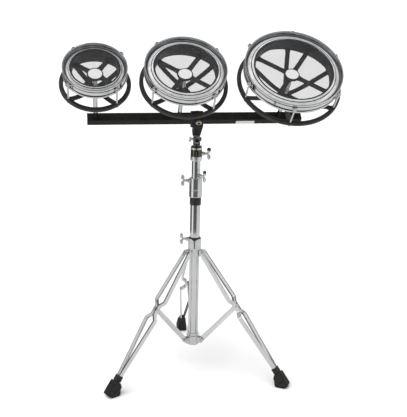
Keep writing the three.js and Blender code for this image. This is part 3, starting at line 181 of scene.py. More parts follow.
print("a rounded square has", len(rounded([(0, 0), (4, 0), (4, 4), (0, 4)], 1)), "points")

# %% [markdown]
# A few outlines come up again and again: a circle or a part of one, an oval, the hexagon of a nut
# and a box with soft corners. Each is one line of arithmetic, so they need no drawing by hand.

# %% Arcs, ovals and boxes
def arc(start, end, steps, radius=1, middle=(0, 0)):
    """Points on a circle, from one angle in degrees to another."""
    turns = [math.radians(start + (end - start) * i / steps) for i in range(steps + 1)]
    return [Vector((middle[0] + radius * math.cos(a), middle[1] + radius * math.sin(a))) for a in turns]


def oval(width, height, steps=24):
    return [Vector((width / 2 * p.x, height / 2 * p.y)) for p in arc(0, 360, steps)[:-1]]


def hexagon(radius):
    return arc(0, 300, 5, radius)


def box_outline(half_x, half_y, corner):
    return rounded([(-half_x, -half_y), (half_x, -half_y), (half_x, half_y), (-half_x, half_y)], corner)


print("a box with rounded corners has", len(box_outline(10, 5, 1)), "points")

# %% [markdown]
# One tool makes the surface of every piece: it takes rings of points in order and skins them with
# faces. A lathe is the case where each ring is a circle. Blender's spin tool could turn a profile
# too, but rings also suit a leg or a foot, whose sections change on the way.

# %% Skinned and turned shapes
LATHE_STEPS = 64
FINE_STEPS = 96


def skinned(shape, rings, at=Matrix(), looped=False):
    """Skin closed rings of points in order. The two ends are capped, or joined when looped."""
    made = [[shape.verts.new(at @ Vector(p)) for p in ring] for ring in rings]
    pairs = list(zip(made, made[1:])) + ([(made[-1], made[0])] if looped else [])
    for low, high in pairs:
        for j in range(max(len(low), len(high))):
            k = j + 1
            corners = [low[j % len(low)], low[k % len(low)], high[k % len(high)], high[j % len(high)]]
            corners = list(dict.fromkeys(corners))
            if len(corners) > 2:
                shape.faces.new(corners)
    if not looped:
        for end in (made[0], made[-1]):
            if len(end) > 2:
                shape.faces.new(end)


def turned(shape, profile, at=Matrix(), steps=LATHE_STEPS):
    """Turn a closed profile of (radius, height) round Z."""
    circle = arc(0, 360, steps)[:-1]
    solid_core = profile[0][0] < STRAIGHT and profile[-1][0] < STRAIGHT
    profile = guarded(profile, closed=not solid_core)
    rings = [[(r * p.x, r * p.y, z) for p in circle] if r > STRAIGHT else [(0, 0, z)] for r, z in profile]
    skinned(shape, rings, at, looped=not solid_core)


print("a lathe makes", LATHE_STEPS, "facets round an axis, or", FINE_STEPS, "where a tube is wide")

# %% [markdown]
# Bars and tubes are the commonest profiles for the lathe. A pressed plate is an outline repeated at
# several heights: the copies near each face are drawn in along a quarter circle, which rounds its
# edge over. Softened edges matter most of all, because a chromed edge without a radius catches no
# light and looks like paper. Bars and plates are drawn upright, and three fixed turns lay them down,
# stand them up or put them on their heads.

# %% Bars, tubes and pressed plates
EDGE_STEPS = 3
RIGHT_ANGLE = math.pi / 2


def bar(radius, bottom, top, edge=0.5):
    """The profile of a solid turned bar with softened ends."""
    return rounded([(0, bottom, 0), (radius, bottom), (radius, top), (0, top, 0)], edge)


def tube(inner, outer, bottom, top, edge=0.4):
    return rounded([(inner, bottom), (outer, bottom), (outer, top), (inner, top)], edge)


def shrunk(points, amount):
    """A smaller copy of an outline, drawn towards its middle."""
    middle = sum(points, Vector((0, 0))) / len(points)
    share = 1 - amount / min((p - middle).length for p in points)
    return [middle + (p - middle) * share for p in points]


def pressed(shape, outline, bottom, top, edge=0.5, at=Matrix(), face_ring=True):
    """Give a flat anticlockwise outline a thickness, with its edges rounded over."""
    outline = guarded(outline)
    levels = []
    for i in range(EDGE_STEPS + 1):
        a = RIGHT_ANGLE * i / EDGE_STEPS
        levels.append((edge * (1 - math.sin(a)), edge * (1 - math.cos(a))))
    if top - bottom > 2 * edge + 4 * GUARD:
        levels.append((0, edge + GUARD))
    sides = [(drawn_in(outline, inward), bottom + rise) for inward, rise in levels]
    sides += [(drawn_in(outline, inward), top - rise) for inward, rise in reversed(levels)]
    if face_ring:
        face = shrunk(sides[0][0], GUARD)
        sides = [(face, bottom)] + sides + [(face, top)]
    skinned(shape, [[(p.x, p.y, z) for p in points] for points, z in sides], at)


LYING = Matrix.Rotation(RIGHT_ANGLE, 4, "Y")
STANDING = Matrix.Rotation(RIGHT_ANGLE, 4, "X")
OVER = Matrix.Rotation(math.pi, 4, "X")


def turn_z(degrees):
    return Matrix.Rotation(math.radians(degrees), 4, "Z")


def move(x=0, y=0, z=0):
    return Matrix.Translation((x, y, z))


print("an edge is rounded over in", EDGE_STEPS, "steps")

# %% [markdown]
# ## Cutting slots
# A clamp is a ring with a slot sawn through it, so that a screw can pull it tight. The slot is cut
# in the same way here: a second shape is taken away from the first by a boolean modifier, which
# copes with any shape of ring and any shape of saw.

# %% Cutting one shape out of another
SLOT_WIDTH = 3
SAW_END = -2


def as_object(shape, name):
    bmesh.ops.recalc_face_normals(shape, faces=shape.faces)
    mesh = bpy.data.meshes.new(name)
    shape.to_mesh(mesh)
    shape.free()
    made = bpy.data.objects.new(name, mesh)
    bpy.context.scene.collection.objects.link(made)
    return made


def sawn(shape, tool):
    """Take a tool's shape away from a shape and give what is left."""
    work, blade = as_object(shape, "work"), as_object(tool, "blade")
    cutter = work.modifiers.new("cut", "BOOLEAN")
    cutter.object, cutter.operation, cutter.solver = blade, "DIFFERENCE", "EXACT"
    left = bmesh.new()
    left.from_object(work, bpy.context.evaluated_depsgraph_get())
    for used in (work, blade):
        bpy.data.meshes.remove(used.data)
    return left


def slotted(shape, bottom, top, radius, width=SLOT_WIDTH):
    """Saw a slot into the front of a ring, from one height to another."""
    blade, half = bmesh.new(), width / 2
    outline = [(-half, -2 * radius), (half, -2 * radius), (half, SAW_END), (-half, SAW_END)]
    pressed(blade, outline, bottom, top, 0.2)
    return sawn(shape, blade)


def notched(shape, width, depth, top, radius):
    """File a V into the top edge of a ring, at its front."""
    blade, half, above = bmesh.new(), width / 2, top + 4
    pressed(blade, [(-half, top), (0, top - depth), (half, top), (half, above), (-half, above)],
            2, 2 * radius, 0.1, STANDING)
    return sawn(shape, blade)


print("a clamp's slot is", SLOT_WIDTH, "mm wide")


# %% [markdown]
# ## Finishing a piece
# A finished piece gets its material, its place and the part of the stand that it moves with. Here
# each point also stores two things. One is how sharply the surface bends there, so that paint can
# wear through at the edges. The other is where the point lay on the bench, in the piece's own
# axes, so that polishing lines follow a leg or a hoop and not the room.

# %% Finished pieces
CREASE = math.radians(38)
made_pieces = []


def shaped(tool, *settings, **more):
    """A new shape that one tool makes."""
    shape = bmesh.new()
    tool(shape, *settings, **more)
    return shape


def in_finish(shape, number, tool, *settings):
    """Make something with a tool and give it the piece's second or third finish."""
    before = set(shape.faces)
    tool(shape, *settings)
    for face in set(shape.faces) - before:
        face.material_index = number


def finish_where(shape, rule):
    """Give each face the finish that a rule finds for its middle."""
    for face in shape.faces:
        face.material_index = int(rule(face.calc_center_median()))


def cut_at(shape, height):
    """Cut all faces at a height, so that a finish can change there."""
    everything = shape.faces[:] + shape.edges[:] + shape.verts[:]
    bmesh.ops.bisect_plane(shape, geom=everything, plane_co=(0, 0, height), plane_no=UP)


def store_edges_and_bench(shape):
    edge = shape.verts.layers.float.new("edge")
    bench = shape.verts.layers.float_vector.new("bench")
    for vert in shape.verts:
        bends = [e.calc_face_angle_signed(0) for e in vert.link_edges]
        vert[edge] = min(1, max([0] + bends) / RIGHT_ANGLE)
        vert[bench] = vert.co * MM


def finished(name, shape, place, finish, body):
    """Turn a shape in millimetres into the piece that stands for its node and rides on its body."""
    bmesh.ops.remove_doubles(shape, verts=shape.verts, dist=STRAIGHT)
    bmesh.ops.recalc_face_normals(shape, faces=shape.faces)
    store_edges_and_bench(shape)
    piece = as_object(shape, f"{name}_fine")
    piece.data.transform(place @ Matrix.Scale(MM, 4))
    piece.data.shade_smooth()
    piece.data.set_sharp_from_angle(angle=CREASE)
    for material in finish["materials"]:
        piece.data.materials.append(material)
    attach(piece, body)
    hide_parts(name)
    made_pieces.append(piece)


print("bends sharper than", round(math.degrees(CREASE)), "degrees stay crisp")


# %% [markdown]
# ## Metal, paint, rubber and film
# No real surface is one flat colour. Chrome has faint clouds and fine polishing lines, cast metal
# has an orange-peel skin, and paint wears at its edges. Each finish below is a small node tree: one
# noise stains the colour, a finer one varies the gloss and breaks up the wear, and a third,
# stretched along the way the piece was worked, raises a fine grain.

# %% A finish from nodes
BUMP_DEPTH = 0.0004
SPECKS_PER_CLOUD = 9


def add_node(tree, kind, inputs, **settings):
    made = tree.nodes.new(kind)
    for key, value in settings.items():
        setattr(made, key, value)
    for socket, value in inputs.items():
        if isinstance(value, bpy.types.NodeSocket):
            tree.links.new(value, made.inputs[socket])
        else:
            made.inputs[socket].default_value = value
    return made


def tint(colour):
    """A colour for a socket. A single number is a grey."""
    return (*colour, 1) if isinstance(colour, tuple) else (colour, colour, colour, 1)


def surface(name, colour, stain, worn, gloss, metallic, cloud=40, grain=(900, 900, 900), grain_depth=0.1,
            wear=0.5, **constants):
    """A principled material: stained colour, varied roughness, grain, and wear along its edges."""
    material = bpy.data.materials.new(name)
    material.use_nodes = True
    tree = material.node_tree
    shader = tree.nodes["Principled BSDF"]

    def add(kind, inputs, **settings):
        return add_node(tree, f"ShaderNode{kind}", inputs, **settings)

    place = add("Attribute", {}, attribute_name="bench").outputs["Vector"]
    clouds = add("TexNoise", {"Vector": place, "Scale": cloud, "Detail": 5, "Roughness": 0.6})
    specks = add("TexNoise", {"Vector": place, "Scale": cloud * SPECKS_PER_CLOUD, "Detail": 3})
    stains = add("MapRange", {"Value": clouds.outputs["Fac"], "From Min": 0.38, "From Max": 0.68},
                 interpolation_type="SMOOTHSTEP")
    body = add("Mix", {0: stains.outputs[0], 6: tint(colour), 7: tint(stain)}, data_type="RGBA")
    edge = add("Attribute", {}, attribute_name="edge")
    ragged = add("Math", {0: edge.outputs["Fac"], 1: specks.outputs["Fac"]}, operation="MULTIPLY")
    rubbed = add("MapRange", {"Value": ragged.outputs[0], "From Min": 0.13, "From Max": 0.3, "To Max": wear},
                 interpolation_type="SMOOTHSTEP")
    skin = add("Mix", {0: rubbed.outputs[0], 6: body.outputs[2], 7: tint(worn)}, data_type="RGBA")
    tree.links.new(skin.outputs[2], shader.inputs["Base Color"])
    rough = add("MapRange", {"Value": specks.outputs["Fac"], "From Min": 0.3, "From Max": 0.7,
                             "To Min": gloss[0], "To Max": gloss[1]})
    tree.links.new(rough.outputs[0], shader.inputs["Roughness"])
    stretch = add("Mapping", {"Vector": place, "Scale": grain})
    lines = add("TexNoise", {"Vector": stretch.outputs[0], "Scale": 1, "Detail": 3})
    relief = add("Bump", {"Height": lines.outputs["Fac"], "Strength": grain_depth, "Distance": BUMP_DEPTH})
    tree.links.new(relief.outputs[0], shader.inputs["Normal"])
    shader.inputs["Metallic"].default_value = metallic
    for socket, value in constants.items():
        shader.inputs[socket.replace("_", " ")].default_value = value
    return material


def look(slot, *materials):
    return {"slot": slot, "materials": materials}


print("a grain is at most", round(BUMP_DEPTH / MM, 2), "mm deep")


# %% [markdown]
# Plated steel is bright, but never white: it shows the room. Its colour is a light neutral grey and
# the roughness stays low. A grain is given as its fineness along X, Y and Z, so a small third number
# stretches it along a tube or a strip, and a large one wraps it round a hoop. Where the room that
# the metal mirrors leaves a lasting dark band, such as inside a hoop, under its lip, round its wall
# or along a strip's outward edge, that reflection is painted in: the stretch gets a painted dark
# reflection as a material of its own. The top clamp's turned band gets one too.

# %% Plated metals
ALONG_TUBE, ALONG_STRIP, ROUND_HOOP = (1600, 1600, 12), (1300, 1300, 20), (60, 60, 1800)
CAST_SKIN = (700, 700, 700)
tube_chrome = surface("polished_tube_chrome", (0.80, 0.81, 0.82), (0.76, 0.77, 0.78), 0.62, (0.04, 0.09), 1,
                      cloud=22, grain=ALONG_TUBE, grain_depth=0.03, wear=0.3)
cast_chrome = surface("plated_casting", (0.80, 0.81, 0.82), 0.72, 0.9, (0.1, 0.2), 1,
                      cloud=55, grain=CAST_SKIN, grain_depth=0.08, wear=0.6)
strip_chrome = surface("plated_strip", (0.90, 0.905, 0.92), 0.85, 0.95, (0.12, 0.22), 1,
                       cloud=30, grain=ALONG_STRIP, grain_depth=0.06)
# Painted dark reflection along the outward flanges of the leg strips.
painted_flange_reflection = surface("strip_edge_painted_dark_reflection", 0.2, 0.12, 0.6, (0.2, 0.3), 1,
                     cloud=60, grain=ALONG_STRIP, grain_depth=0.06)
hoop_chrome = surface("rolled_hoop_chrome", (0.84, 0.85, 0.86), 0.79, 0.92, (0.05, 0.11), 1,
                      cloud=35, grain=ROUND_HOOP, grain_depth=0.04)
# Painted dark reflections on the hoop: its inside, and two lines round its outer wall.
painted_inner_reflection = surface("inner_plating_painted_dark_reflection", (0.34, 0.35, 0.36), (0.24, 0.25, 0.26), 0.7, (0.08, 0.16), 1,
                      cloud=35, grain=ROUND_HOOP, grain_depth=0.04)
painted_hoop_lines = surface("hoop_lines_painted_dark_reflection", (0.09, 0.10, 0.10), (0.06, 0.065, 0.065), 0.3, (0.1, 0.2), 1,
                      cloud=60, grain=ROUND_HOOP, grain_depth=0.05, wear=0.3)
# Painted dark reflection for the top clamp's turned band.
painted_band_reflection = surface("clamp_band_painted_dark_reflection", (0.15, 0.14, 0.11), (0.09, 0.085, 0.07), 0.5, (0.1, 0.2), 1,
                     cloud=90, grain=CAST_SKIN, wear=0.4)
brushed_plate = surface("brushed_plating", (0.90, 0.91, 0.92), 0.84, 0.95, (0.34, 0.46), 1,
                        cloud=60, grain=CAST_SKIN, wear=0.6)
satin_aluminium = surface("satin_aluminium", (0.76, 0.77, 0.78), 0.70, 0.88, (0.18, 0.28), 1,
                          grain=(120, 120, 1500))
brass_plate = surface("passivated_brass", (0.56, 0.50, 0.34), (0.48, 0.45, 0.36), (0.75, 0.68, 0.48),
                      (0.22, 0.36), 1, cloud=120)
# Painted shade for the deep key socket in the bolt's head.
painted_socket_shade = surface("key_socket_painted_shade", (0.05, 0.046, 0.036), (0.09, 0.085, 0.07), 0.2, (0.4, 0.5), 0.5,
                     cloud=200)
jaw_casting = surface("tilter_casting", (0.34, 0.34, 0.33), (0.2, 0.2, 0.195), 0.92, (0.14, 0.24), 1,
                      cloud=90, grain=(600, 600, 600), grain_depth=0.12, wear=1.0)
CHROME = look("chrome", tube_chrome)
CAST_CHROME = look("chrome", cast_chrome)
BANDED = look("chrome", brushed_plate, painted_band_reflection)
HOOP = look("chrome", hoop_chrome, painted_inner_reflection, painted_hoop_lines)
JAW = look("chrome", jaw_casting)
LEG_CHROME = look("leg_chrome", strip_chrome)
LEG_STRIP = look("leg_chrome", strip_chrome, painted_flange_reflection)
ALUMINIUM = look("aluminium", satin_aluminium)
BRASS = look("brass", brass_plate, painted_socket_shade)
print("metals:", len(bpy.data.materials))

# %% [markdown]
# The rail is painted, the drum wheels are cast and sprayed, the sleeves are moulded and the feet are
# rubber. All four are nearly black, and only gloss and grain tell them apart, so those differ most:
# the paint is smooth, the casting has a coarse skin, and rubber is matt with a fine tooth. The posts
# of the drums are chrome with a black painted foot, and two of the wing screws have a black tip.

# %% Dark finishes
rail_paint = surface("black_rail_paint", (0.008, 0.008, 0.007), (0.013, 0.013, 0.012), 0.1, (0.26, 0.36), 0,
                     cloud=25, grain=(1500, 500, 500), grain_depth=0.05, wear=0.3, Specular_IOR_Level=0.18)
wheel_skin = surface("black_cast_wheel", (0.022, 0.022, 0.02), (0.034, 0.033, 0.03), 0.2, (0.3, 0.44), 0.15,
                     cloud=70, grain=(650, 650, 650), grain_depth=0.3, wear=0.3)
moulded_sleeve = surface("moulded_sleeve", (0.016, 0.016, 0.018), (0.024, 0.024, 0.026), 0.08,
                         (0.22, 0.32), 0, cloud=80, grain=(1100, 1100, 1100), grain_depth=0.08, wear=0.2)
foot_rubber = surface("foot_rubber", (0.007, 0.007, 0.006), (0.014, 0.0145, 0.0135), 0.06, (0.5, 0.68), 0,
                      cloud=90, grain=(1400, 1400, 1400), grain_depth=0.35, wear=0.4, Specular_IOR_Level=0.3)
BLACK_PAINT = look("black_paint", rail_paint)
WHEEL = look("black_casting", wheel_skin)
PLASTIC = look("black_plastic", moulded_sleeve)
RUBBER = look("rubber", foot_rubber)
POST = look("chrome", tube_chrome, rail_paint)
TIPPED = look("chrome", brushed_plate, moulded_sleeve)
print("finishes so far:", len(bpy.data.materials))

# %% [markdown]
# The heads are clear polyester film. A film could be glass in the shader, but this thin it bends no
# light. So it is a grey that hides about a fifth of what lies behind it. The collar, where it is
# drawn down over the bearing edge, is cloudier and pale with painted glare, and hides six tenths. A
# ring across the collar is a painted dark reflection, and the line along the edge itself is dark;
# both hide nine tenths. The blank patches on the hubs and on the rail are printed film. They stay
# bare here, and they are part of the piece that they are stuck to; the one on each hub glows a
# little, painted light that keeps it white under the film.

# %% Film and blank labels
FILM_GRAIN, PRINT_GRAIN = (90, 90, 90), (2000, 2000, 2000)
drum_film = surface("clear_film", (0.045, 0.046, 0.05), (0.06, 0.061, 0.065), 0.2, (0.08, 0.14), 0,
                    cloud=14, grain=FILM_GRAIN, grain_depth=0.02, wear=0.2, Alpha=0.22,
                    Specular_IOR_Level=0.3)
# The collar's pale tone is partly real cloudy film and partly painted glare.
cloudy_collar_painted_glare = surface("drawn_film_collar_painted_glare", (0.74, 0.74, 0.75), (0.6, 0.6, 0.61), 0.85, (0.05, 0.12), 0,
                      cloud=60, grain=FILM_GRAIN, grain_depth=0.04, wear=0.3, Alpha=0.6,
                      Specular_IOR_Level=0.9)
bearing_line_and_painted_band = surface("film_over_bearing_edge_and_painted_band", (0.02, 0.021, 0.022), (0.03, 0.031, 0.032), 0.1,
                       (0.1, 0.2), 0, cloud=60, grain=FILM_GRAIN, grain_depth=0.04, wear=0.2, Alpha=0.9)
# The hub label glows a little: painted light that keeps it white under the film.
glowing_blank_label = surface("glowing_blank_label", (0.93, 0.93, 0.92), (0.89, 0.89, 0.88), 0.7, (0.35, 0.5), 0, cloud=120,
                      grain=PRINT_GRAIN, grain_depth=0.06, wear=0.2,
                      Emission_Color=tint(1), Emission_Strength=0.45)
blank_sticker = surface("blank_sticker", (0.62, 0.62, 0.61), (0.56, 0.56, 0.55), 0.4, (0.35, 0.5), 0,
                        cloud=120, grain=PRINT_GRAIN, grain_depth=0.06, wear=0.2)
label_edge = surface("label_edge", 0.3, 0.38, 0.4, (0.35, 0.5), 0, cloud=200)
FILM_LOOK = look("clear_film", drum_film, cloudy_collar_painted_glare, bearing_line_and_painted_band)
HUB_LOOK = look("black_casting", wheel_skin, glowing_blank_label, label_edge)
RAIL_LOOK = look("black_paint", rail_paint, blank_sticker)
print("finishes:", len(bpy.data.materials))

# %% [markdown]
# ## Column
# The column is two plated tubes, one sliding in the other, with a moulded sleeve between them. A
# split collar on the lower tube grips the upper tube and sets the height. A tube and a collar are
# both one profile turned round the column's axis, and the collar is then slotted.

# %% Base tube and height clamp
BASE_RADIUS, BASE_BORE = 15.9, 14.4
BASE_BOTTOM, BASE_TOP = 91, 612
CLAMP_BOTTOM, CLAMP_TOP, CLAMP_RADIUS, CLAMP_WAIST = 590, 651, 20.5, 19.4
GROOVE_BOTTOM, GROOVE_TOP = 611, 614
THROAT, SOCKET, SHELF = 14.4, 16.2, 612.3
SAW_ABOVE = 4
HEIGHT_SCREW_Z = 641
KNUCKLE_RADIUS, KNUCKLE_REACH, KNUCKLE_EDGE = 6.5, 5.5, 1.2
CORNER = 0.3


def knuckle(shape, inner, reach, height, azimuth, radius=KNUCKLE_RADIUS):
    """The round boss that a clamp's screw runs in."""
    turned(shape, bar(radius, inner, reach, KNUCKLE_EDGE), turn_z(azimuth) @ move(0, 0, height) @ LYING)


shape = shaped(turned, tube(BASE_BORE, BASE_RADIUS, BASE_BOTTOM, BASE_TOP), steps=FINE_STEPS)
finished("base_tube", shape, column_place, CHROME, "base")

clamp = shaped(turned, rounded([
    (SOCKET, CLAMP_BOTTOM), (CLAMP_RADIUS, CLAMP_BOTTOM, 2), (CLAMP_RADIUS, GROOVE_BOTTOM, 1),
    (CLAMP_WAIST, GROOVE_BOTTOM, 0.5), (CLAMP_WAIST, GROOVE_TOP, 0.5), (CLAMP_RADIUS, GROOVE_TOP, 1),
    (CLAMP_RADIUS, CLAMP_TOP, 1.6), (THROAT, CLAMP_TOP, 0.8), (THROAT, SHELF), (SOCKET, SHELF)], CORNER),
    steps=FINE_STEPS)
clamp = slotted(clamp, GROOVE_TOP + 2, CLAMP_TOP + SAW_ABOVE, CLAMP_RADIUS)
knuckle(clamp, CLAMP_WAIST - 2, CLAMP_RADIUS + KNUCKLE_REACH, HEIGHT_SCREW_Z, 180)
finished("height_clamp", clamp, column_place, CAST_CHROME, "base")
print("base tube", BASE_TOP - BASE_BOTTOM, "mm long")

# %% [markdown]
# The sleeve under the clamp is moulded with ribs, for a hand to hold. A profile with one tooth for
# each rib, made by a loop, gives them all in one turn of the lathe.

# %% Ribbed sleeve
SLEEVE_RADIUS, SLEEVE_BOTTOM, SLEEVE_TOP, SLEEVE_EDGE = 17.9, 564.7, 589.7, 1
RIB_PITCH, RIB_DEPTH = 2.5, 0.5
RIB = ((0.3, RIB_DEPTH), (0.8, 0), (1.9, 0), (2.4, RIB_DEPTH))

ribs = [(SOCKET, SLEEVE_BOTTOM), (SLEEVE_RADIUS - SLEEVE_EDGE, SLEEVE_BOTTOM)]
for i in range(int((SLEEVE_TOP - SLEEVE_BOTTOM) / RIB_PITCH)):
    ribs += [(SLEEVE_RADIUS - depth, SLEEVE_BOTTOM + i * RIB_PITCH + rise) for rise, depth in RIB]
ribs += [(SLEEVE_RADIUS - SLEEVE_EDGE, SLEEVE_TOP), (SOCKET, SLEEVE_TOP)]
finished("height_bushing", shaped(turned, ribs, steps=FINE_STEPS), column_place, PLASTIC, "base")
print("points in the sleeve's profile:", len(ribs))

# %% [markdown]
# The upper tube carries three things: a memory collar that rests on the clamp, so that the height
# is found again after packing, a bevelled clamp for the tilter's stem, and a moulded ring on top.
# The clamp has a shallow band turned into it, and a dark reflection is painted on the band's faces as a
# second finish.

# %% Upper tube, memory collar and top clamp
UPPER_RADIUS, UPPER_BORE, UPPER_BOTTOM, UPPER_TOP = 13.6, 12.1, 250, 735
TUBE_BORE = 13.9
MEMORY_RADIUS, MEMORY_BOTTOM, MEMORY_TOP, MEMORY_NOTCH, MEMORY_NOTCH_WIDTH = 20, 651.3, 668.3, 5, 14
MEMORY_AZIMUTH, MEMORY_SLOT, MEMORY_KNUCKLE, MEMORY_REACH = -45, 1, 6, 2.7
TOP_RADIUS, TOP_BOTTOM, TOP_TOP, TOP_BEVEL = 18.5, 705, 747, 3
TOP_AZIMUTH, TOP_SCREW_Z, TOP_SLOT_RISE = -8, 728, 6
BAND_BOTTOM, BAND_TOP, BAND_DEPTH, BAND_SLOPE = 719, 741, 0.7, 0.6
RING_RADIUS, RING_TOP, RING_ROOT, STEM_BORE = 16.6, 751.7, 737.3, 9.9
FIT = 0.3
memory_middle = (MEMORY_BOTTOM + MEMORY_TOP) / 2

shape = shaped(turned, tube(UPPER_BORE, UPPER_RADIUS, UPPER_BOTTOM, UPPER_TOP), steps=FINE_STEPS)
finished("upper_tube", shape, column_place, CHROME, "mast")

collar = shaped(turned, tube(TUBE_BORE, MEMORY_RADIUS, MEMORY_BOTTOM, MEMORY_TOP, 1.2), steps=FINE_STEPS)
collar = notched(collar, MEMORY_NOTCH_WIDTH, MEMORY_NOTCH, MEMORY_TOP, MEMORY_RADIUS)
collar = slotted(collar, MEMORY_BOTTOM - 2, MEMORY_TOP + 2, MEMORY_RADIUS, MEMORY_SLOT)
knuckle(collar, TUBE_BORE + 2, MEMORY_RADIUS + MEMORY_REACH, memory_middle, MEMORY_AZIMUTH, MEMORY_KNUCKLE)
finished("memory_collar", collar, column_place, CAST_CHROME, "mast")

band_radius = TOP_RADIUS - BAND_DEPTH
clamp = shaped(turned, rounded([
    (TUBE_BORE, TOP_BOTTOM), (TOP_RADIUS - TOP_BEVEL, TOP_BOTTOM, 0.6),
    (TOP_RADIUS, TOP_BOTTOM + TOP_BEVEL, 1.5), (TOP_RADIUS, BAND_BOTTOM, 1),
    (band_radius, BAND_BOTTOM + BAND_SLOPE), (band_radius, BAND_TOP - BAND_SLOPE),
    (TOP_RADIUS, BAND_TOP, 1), (TOP_RADIUS, TOP_TOP, 1.5), (TUBE_BORE, TOP_TOP)], CORNER),
    steps=FINE_STEPS)
clamp = slotted(clamp, TOP_BOTTOM + TOP_SLOT_RISE, TOP_TOP + SAW_ABOVE, TOP_RADIUS)
knuckle(clamp, TUBE_BORE + 2, TOP_RADIUS + KNUCKLE_REACH, TOP_SCREW_Z, TOP_AZIMUTH)
# The band's faces get the painted dark reflection.
finish_where(clamp, lambda p: BAND_BOTTOM < p.z < BAND_TOP and p.xy.length < TOP_RADIUS - 0.1)
finished("top_clamp", clamp, column_place, BANDED, "mast")

shape = shaped(turned, rounded([
    (STEM_BORE, RING_ROOT), (UPPER_BORE - FIT, RING_ROOT), (UPPER_BORE - FIT, TOP_TOP + FIT),
    (RING_RADIUS, TOP_TOP + FIT), (RING_RADIUS, RING_TOP, 1.2), (STEM_BORE, RING_TOP, 0.8)], CORNER),
    steps=FINE_STEPS)
finished("top_bushing", shape, column_place, PLASTIC, "mast")
print("upper tube", UPPER_TOP - UPPER_BOTTOM, "mm long")

# %% [markdown]
# ## Wing screws
# Each screw is one die casting: a flared neck, two swept wings and a threaded shank. The wing is
# drawn as a flat outline with generous corners, then pressed, and each end swells into a rounded
# lobe, so the light rolls over it. A thread is a profile with one ridge for each turn. A true
# spiral would look the same at this size and is much harder to close.

# %% Wing screws
SHANK_RADIUS, NECK_RADIUS, NECK_LENGTH, FLANGE = 3, 5, 8, 2.2
WING_SPAN, LOBE_RADIUS, BAR_WIDTH, WING_THICKNESS, WING_RAKE = 38, 6.2, 6, 3.6, 4
LOBE_LENGTH, LOBE_DEPTH, LOBE_THICK = 9, 6, 3
TIP_LENGTH, TIP_SKIN = 6, 0.5
THREAD_PITCH, THREAD_DEPTH = 1.0, 0.45
ROUND_BAR_STEPS = 24
UPRIGHT = Matrix(((0, 1, 0, 0), (0, 0, 1, 0), (1, 0, 0, 0), (0, 0, 0, 1)))


def threaded(radius, bottom, top, pitch=THREAD_PITCH, depth=THREAD_DEPTH):
    """The profile of a threaded rod: a ridge for each turn of the thread."""
    profile = [(0, bottom), (radius - depth, bottom)]
    for i in range(int((top - bottom) / pitch)):
        z = bottom + i * pitch
        profile += [(radius - depth, z + pitch * 0.1), (radius, z + pitch * 0.45), (radius, z + pitch * 0.6)]
    return profile + [(radius - depth, top), (0, top)]


def wing_outline(neck_end, share):
    """The two swept wings seen flat: X is across the screw and Y along it."""
    lobe, half = LOBE_RADIUS * share, WING_SPAN * share / 2
    low, high = neck_end - 0.5, neck_end + BAR_WIDTH * share
    middle = (neck_end + high) / 2 + WING_RAKE * share
    right = [(NECK_RADIUS * 0.6, low, 1), (half - 1.7 * lobe, middle - 0.62 * lobe, 2),
             (half - 0.5 * lobe, middle - 0.75 * lobe, 4), (half, middle, 5),
             (half - 0.5 * lobe, middle + 0.75 * lobe, 4), (half - 1.8 * lobe, middle + 0.45 * lobe, 3)]
    left = [(-x, y, r) for x, y, r in reversed(right)]
    return rounded(right + [(0, high - 0.6, 3)] + left, 2)


def pillow(shape, length, depth, thick, at):
    """A rounded lobe: half its length along X, half its depth along Y and half its thickness along Z."""
    rings = [[(-length * p.x, depth * p.y * q.x, thick * p.y * q.y) for q in oval(2, 2)]
             for p in arc(0, 180, 12)]
    rings[0], rings[-1] = [(-length, 0, 0)], [(length, 0, 0)]
    skinned(shape, rings, at)


def wing_screw(name, place, tip, seat, share=1, tipped=False):
    """A screw along X, with one wing above the other."""
    shape = bmesh.new()
    seat += FIT
    neck_end = seat + NECK_LENGTH * share
    turned(shape, threaded(SHANK_RADIUS, tip, seat), LYING, ROUND_BAR_STEPS)
    turned(shape, rounded([
        (0, seat, 0), (NECK_RADIUS, seat, 0.6), (NECK_RADIUS, seat - FIT + FLANGE, 0.8),
        (SHANK_RADIUS + 0.6, neck_end - 1, 2), (SHANK_RADIUS + 0.4, neck_end + 2.5 * share, 1.5),
        (0, neck_end + 3.4 * share, 0)], 0.5), LYING, 32)
    half = WING_THICKNESS * share / 2
    pressed(shape, wing_outline(neck_end, share), -half, half, 1.2 * share, UPRIGHT, False)
    out, along = WING_SPAN / 2 - LOBE_LENGTH, neck_end / share + BAR_WIDTH / 2 + WING_RAKE
    for side in (-1, 1):
        place_lobe = UPRIGHT @ Matrix.Scale(share, 4) @ move(side * out, along, 0)
        pillow(shape, LOBE_LENGTH, LOBE_DEPTH, LOBE_THICK, place_lobe)
    if tipped:
        at = UPRIGHT @ move(WING_SPAN / 2 - TIP_LENGTH + TIP_SKIN, along, 0)
        in_finish(shape, 1, pillow, TIP_LENGTH, LOBE_DEPTH + TIP_SKIN, LOBE_THICK + TIP_SKIN, at)
    finished(name, shape, place, TIPPED, name)


print("wings", WING_SPAN, "mm across")

# %% [markdown]
# Four of these screws stand on the column, one on each clamp, collar and hub. They differ only in
# height, in how deep the shank goes and in where the head seats, so one table holds all of them.
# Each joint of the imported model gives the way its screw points.

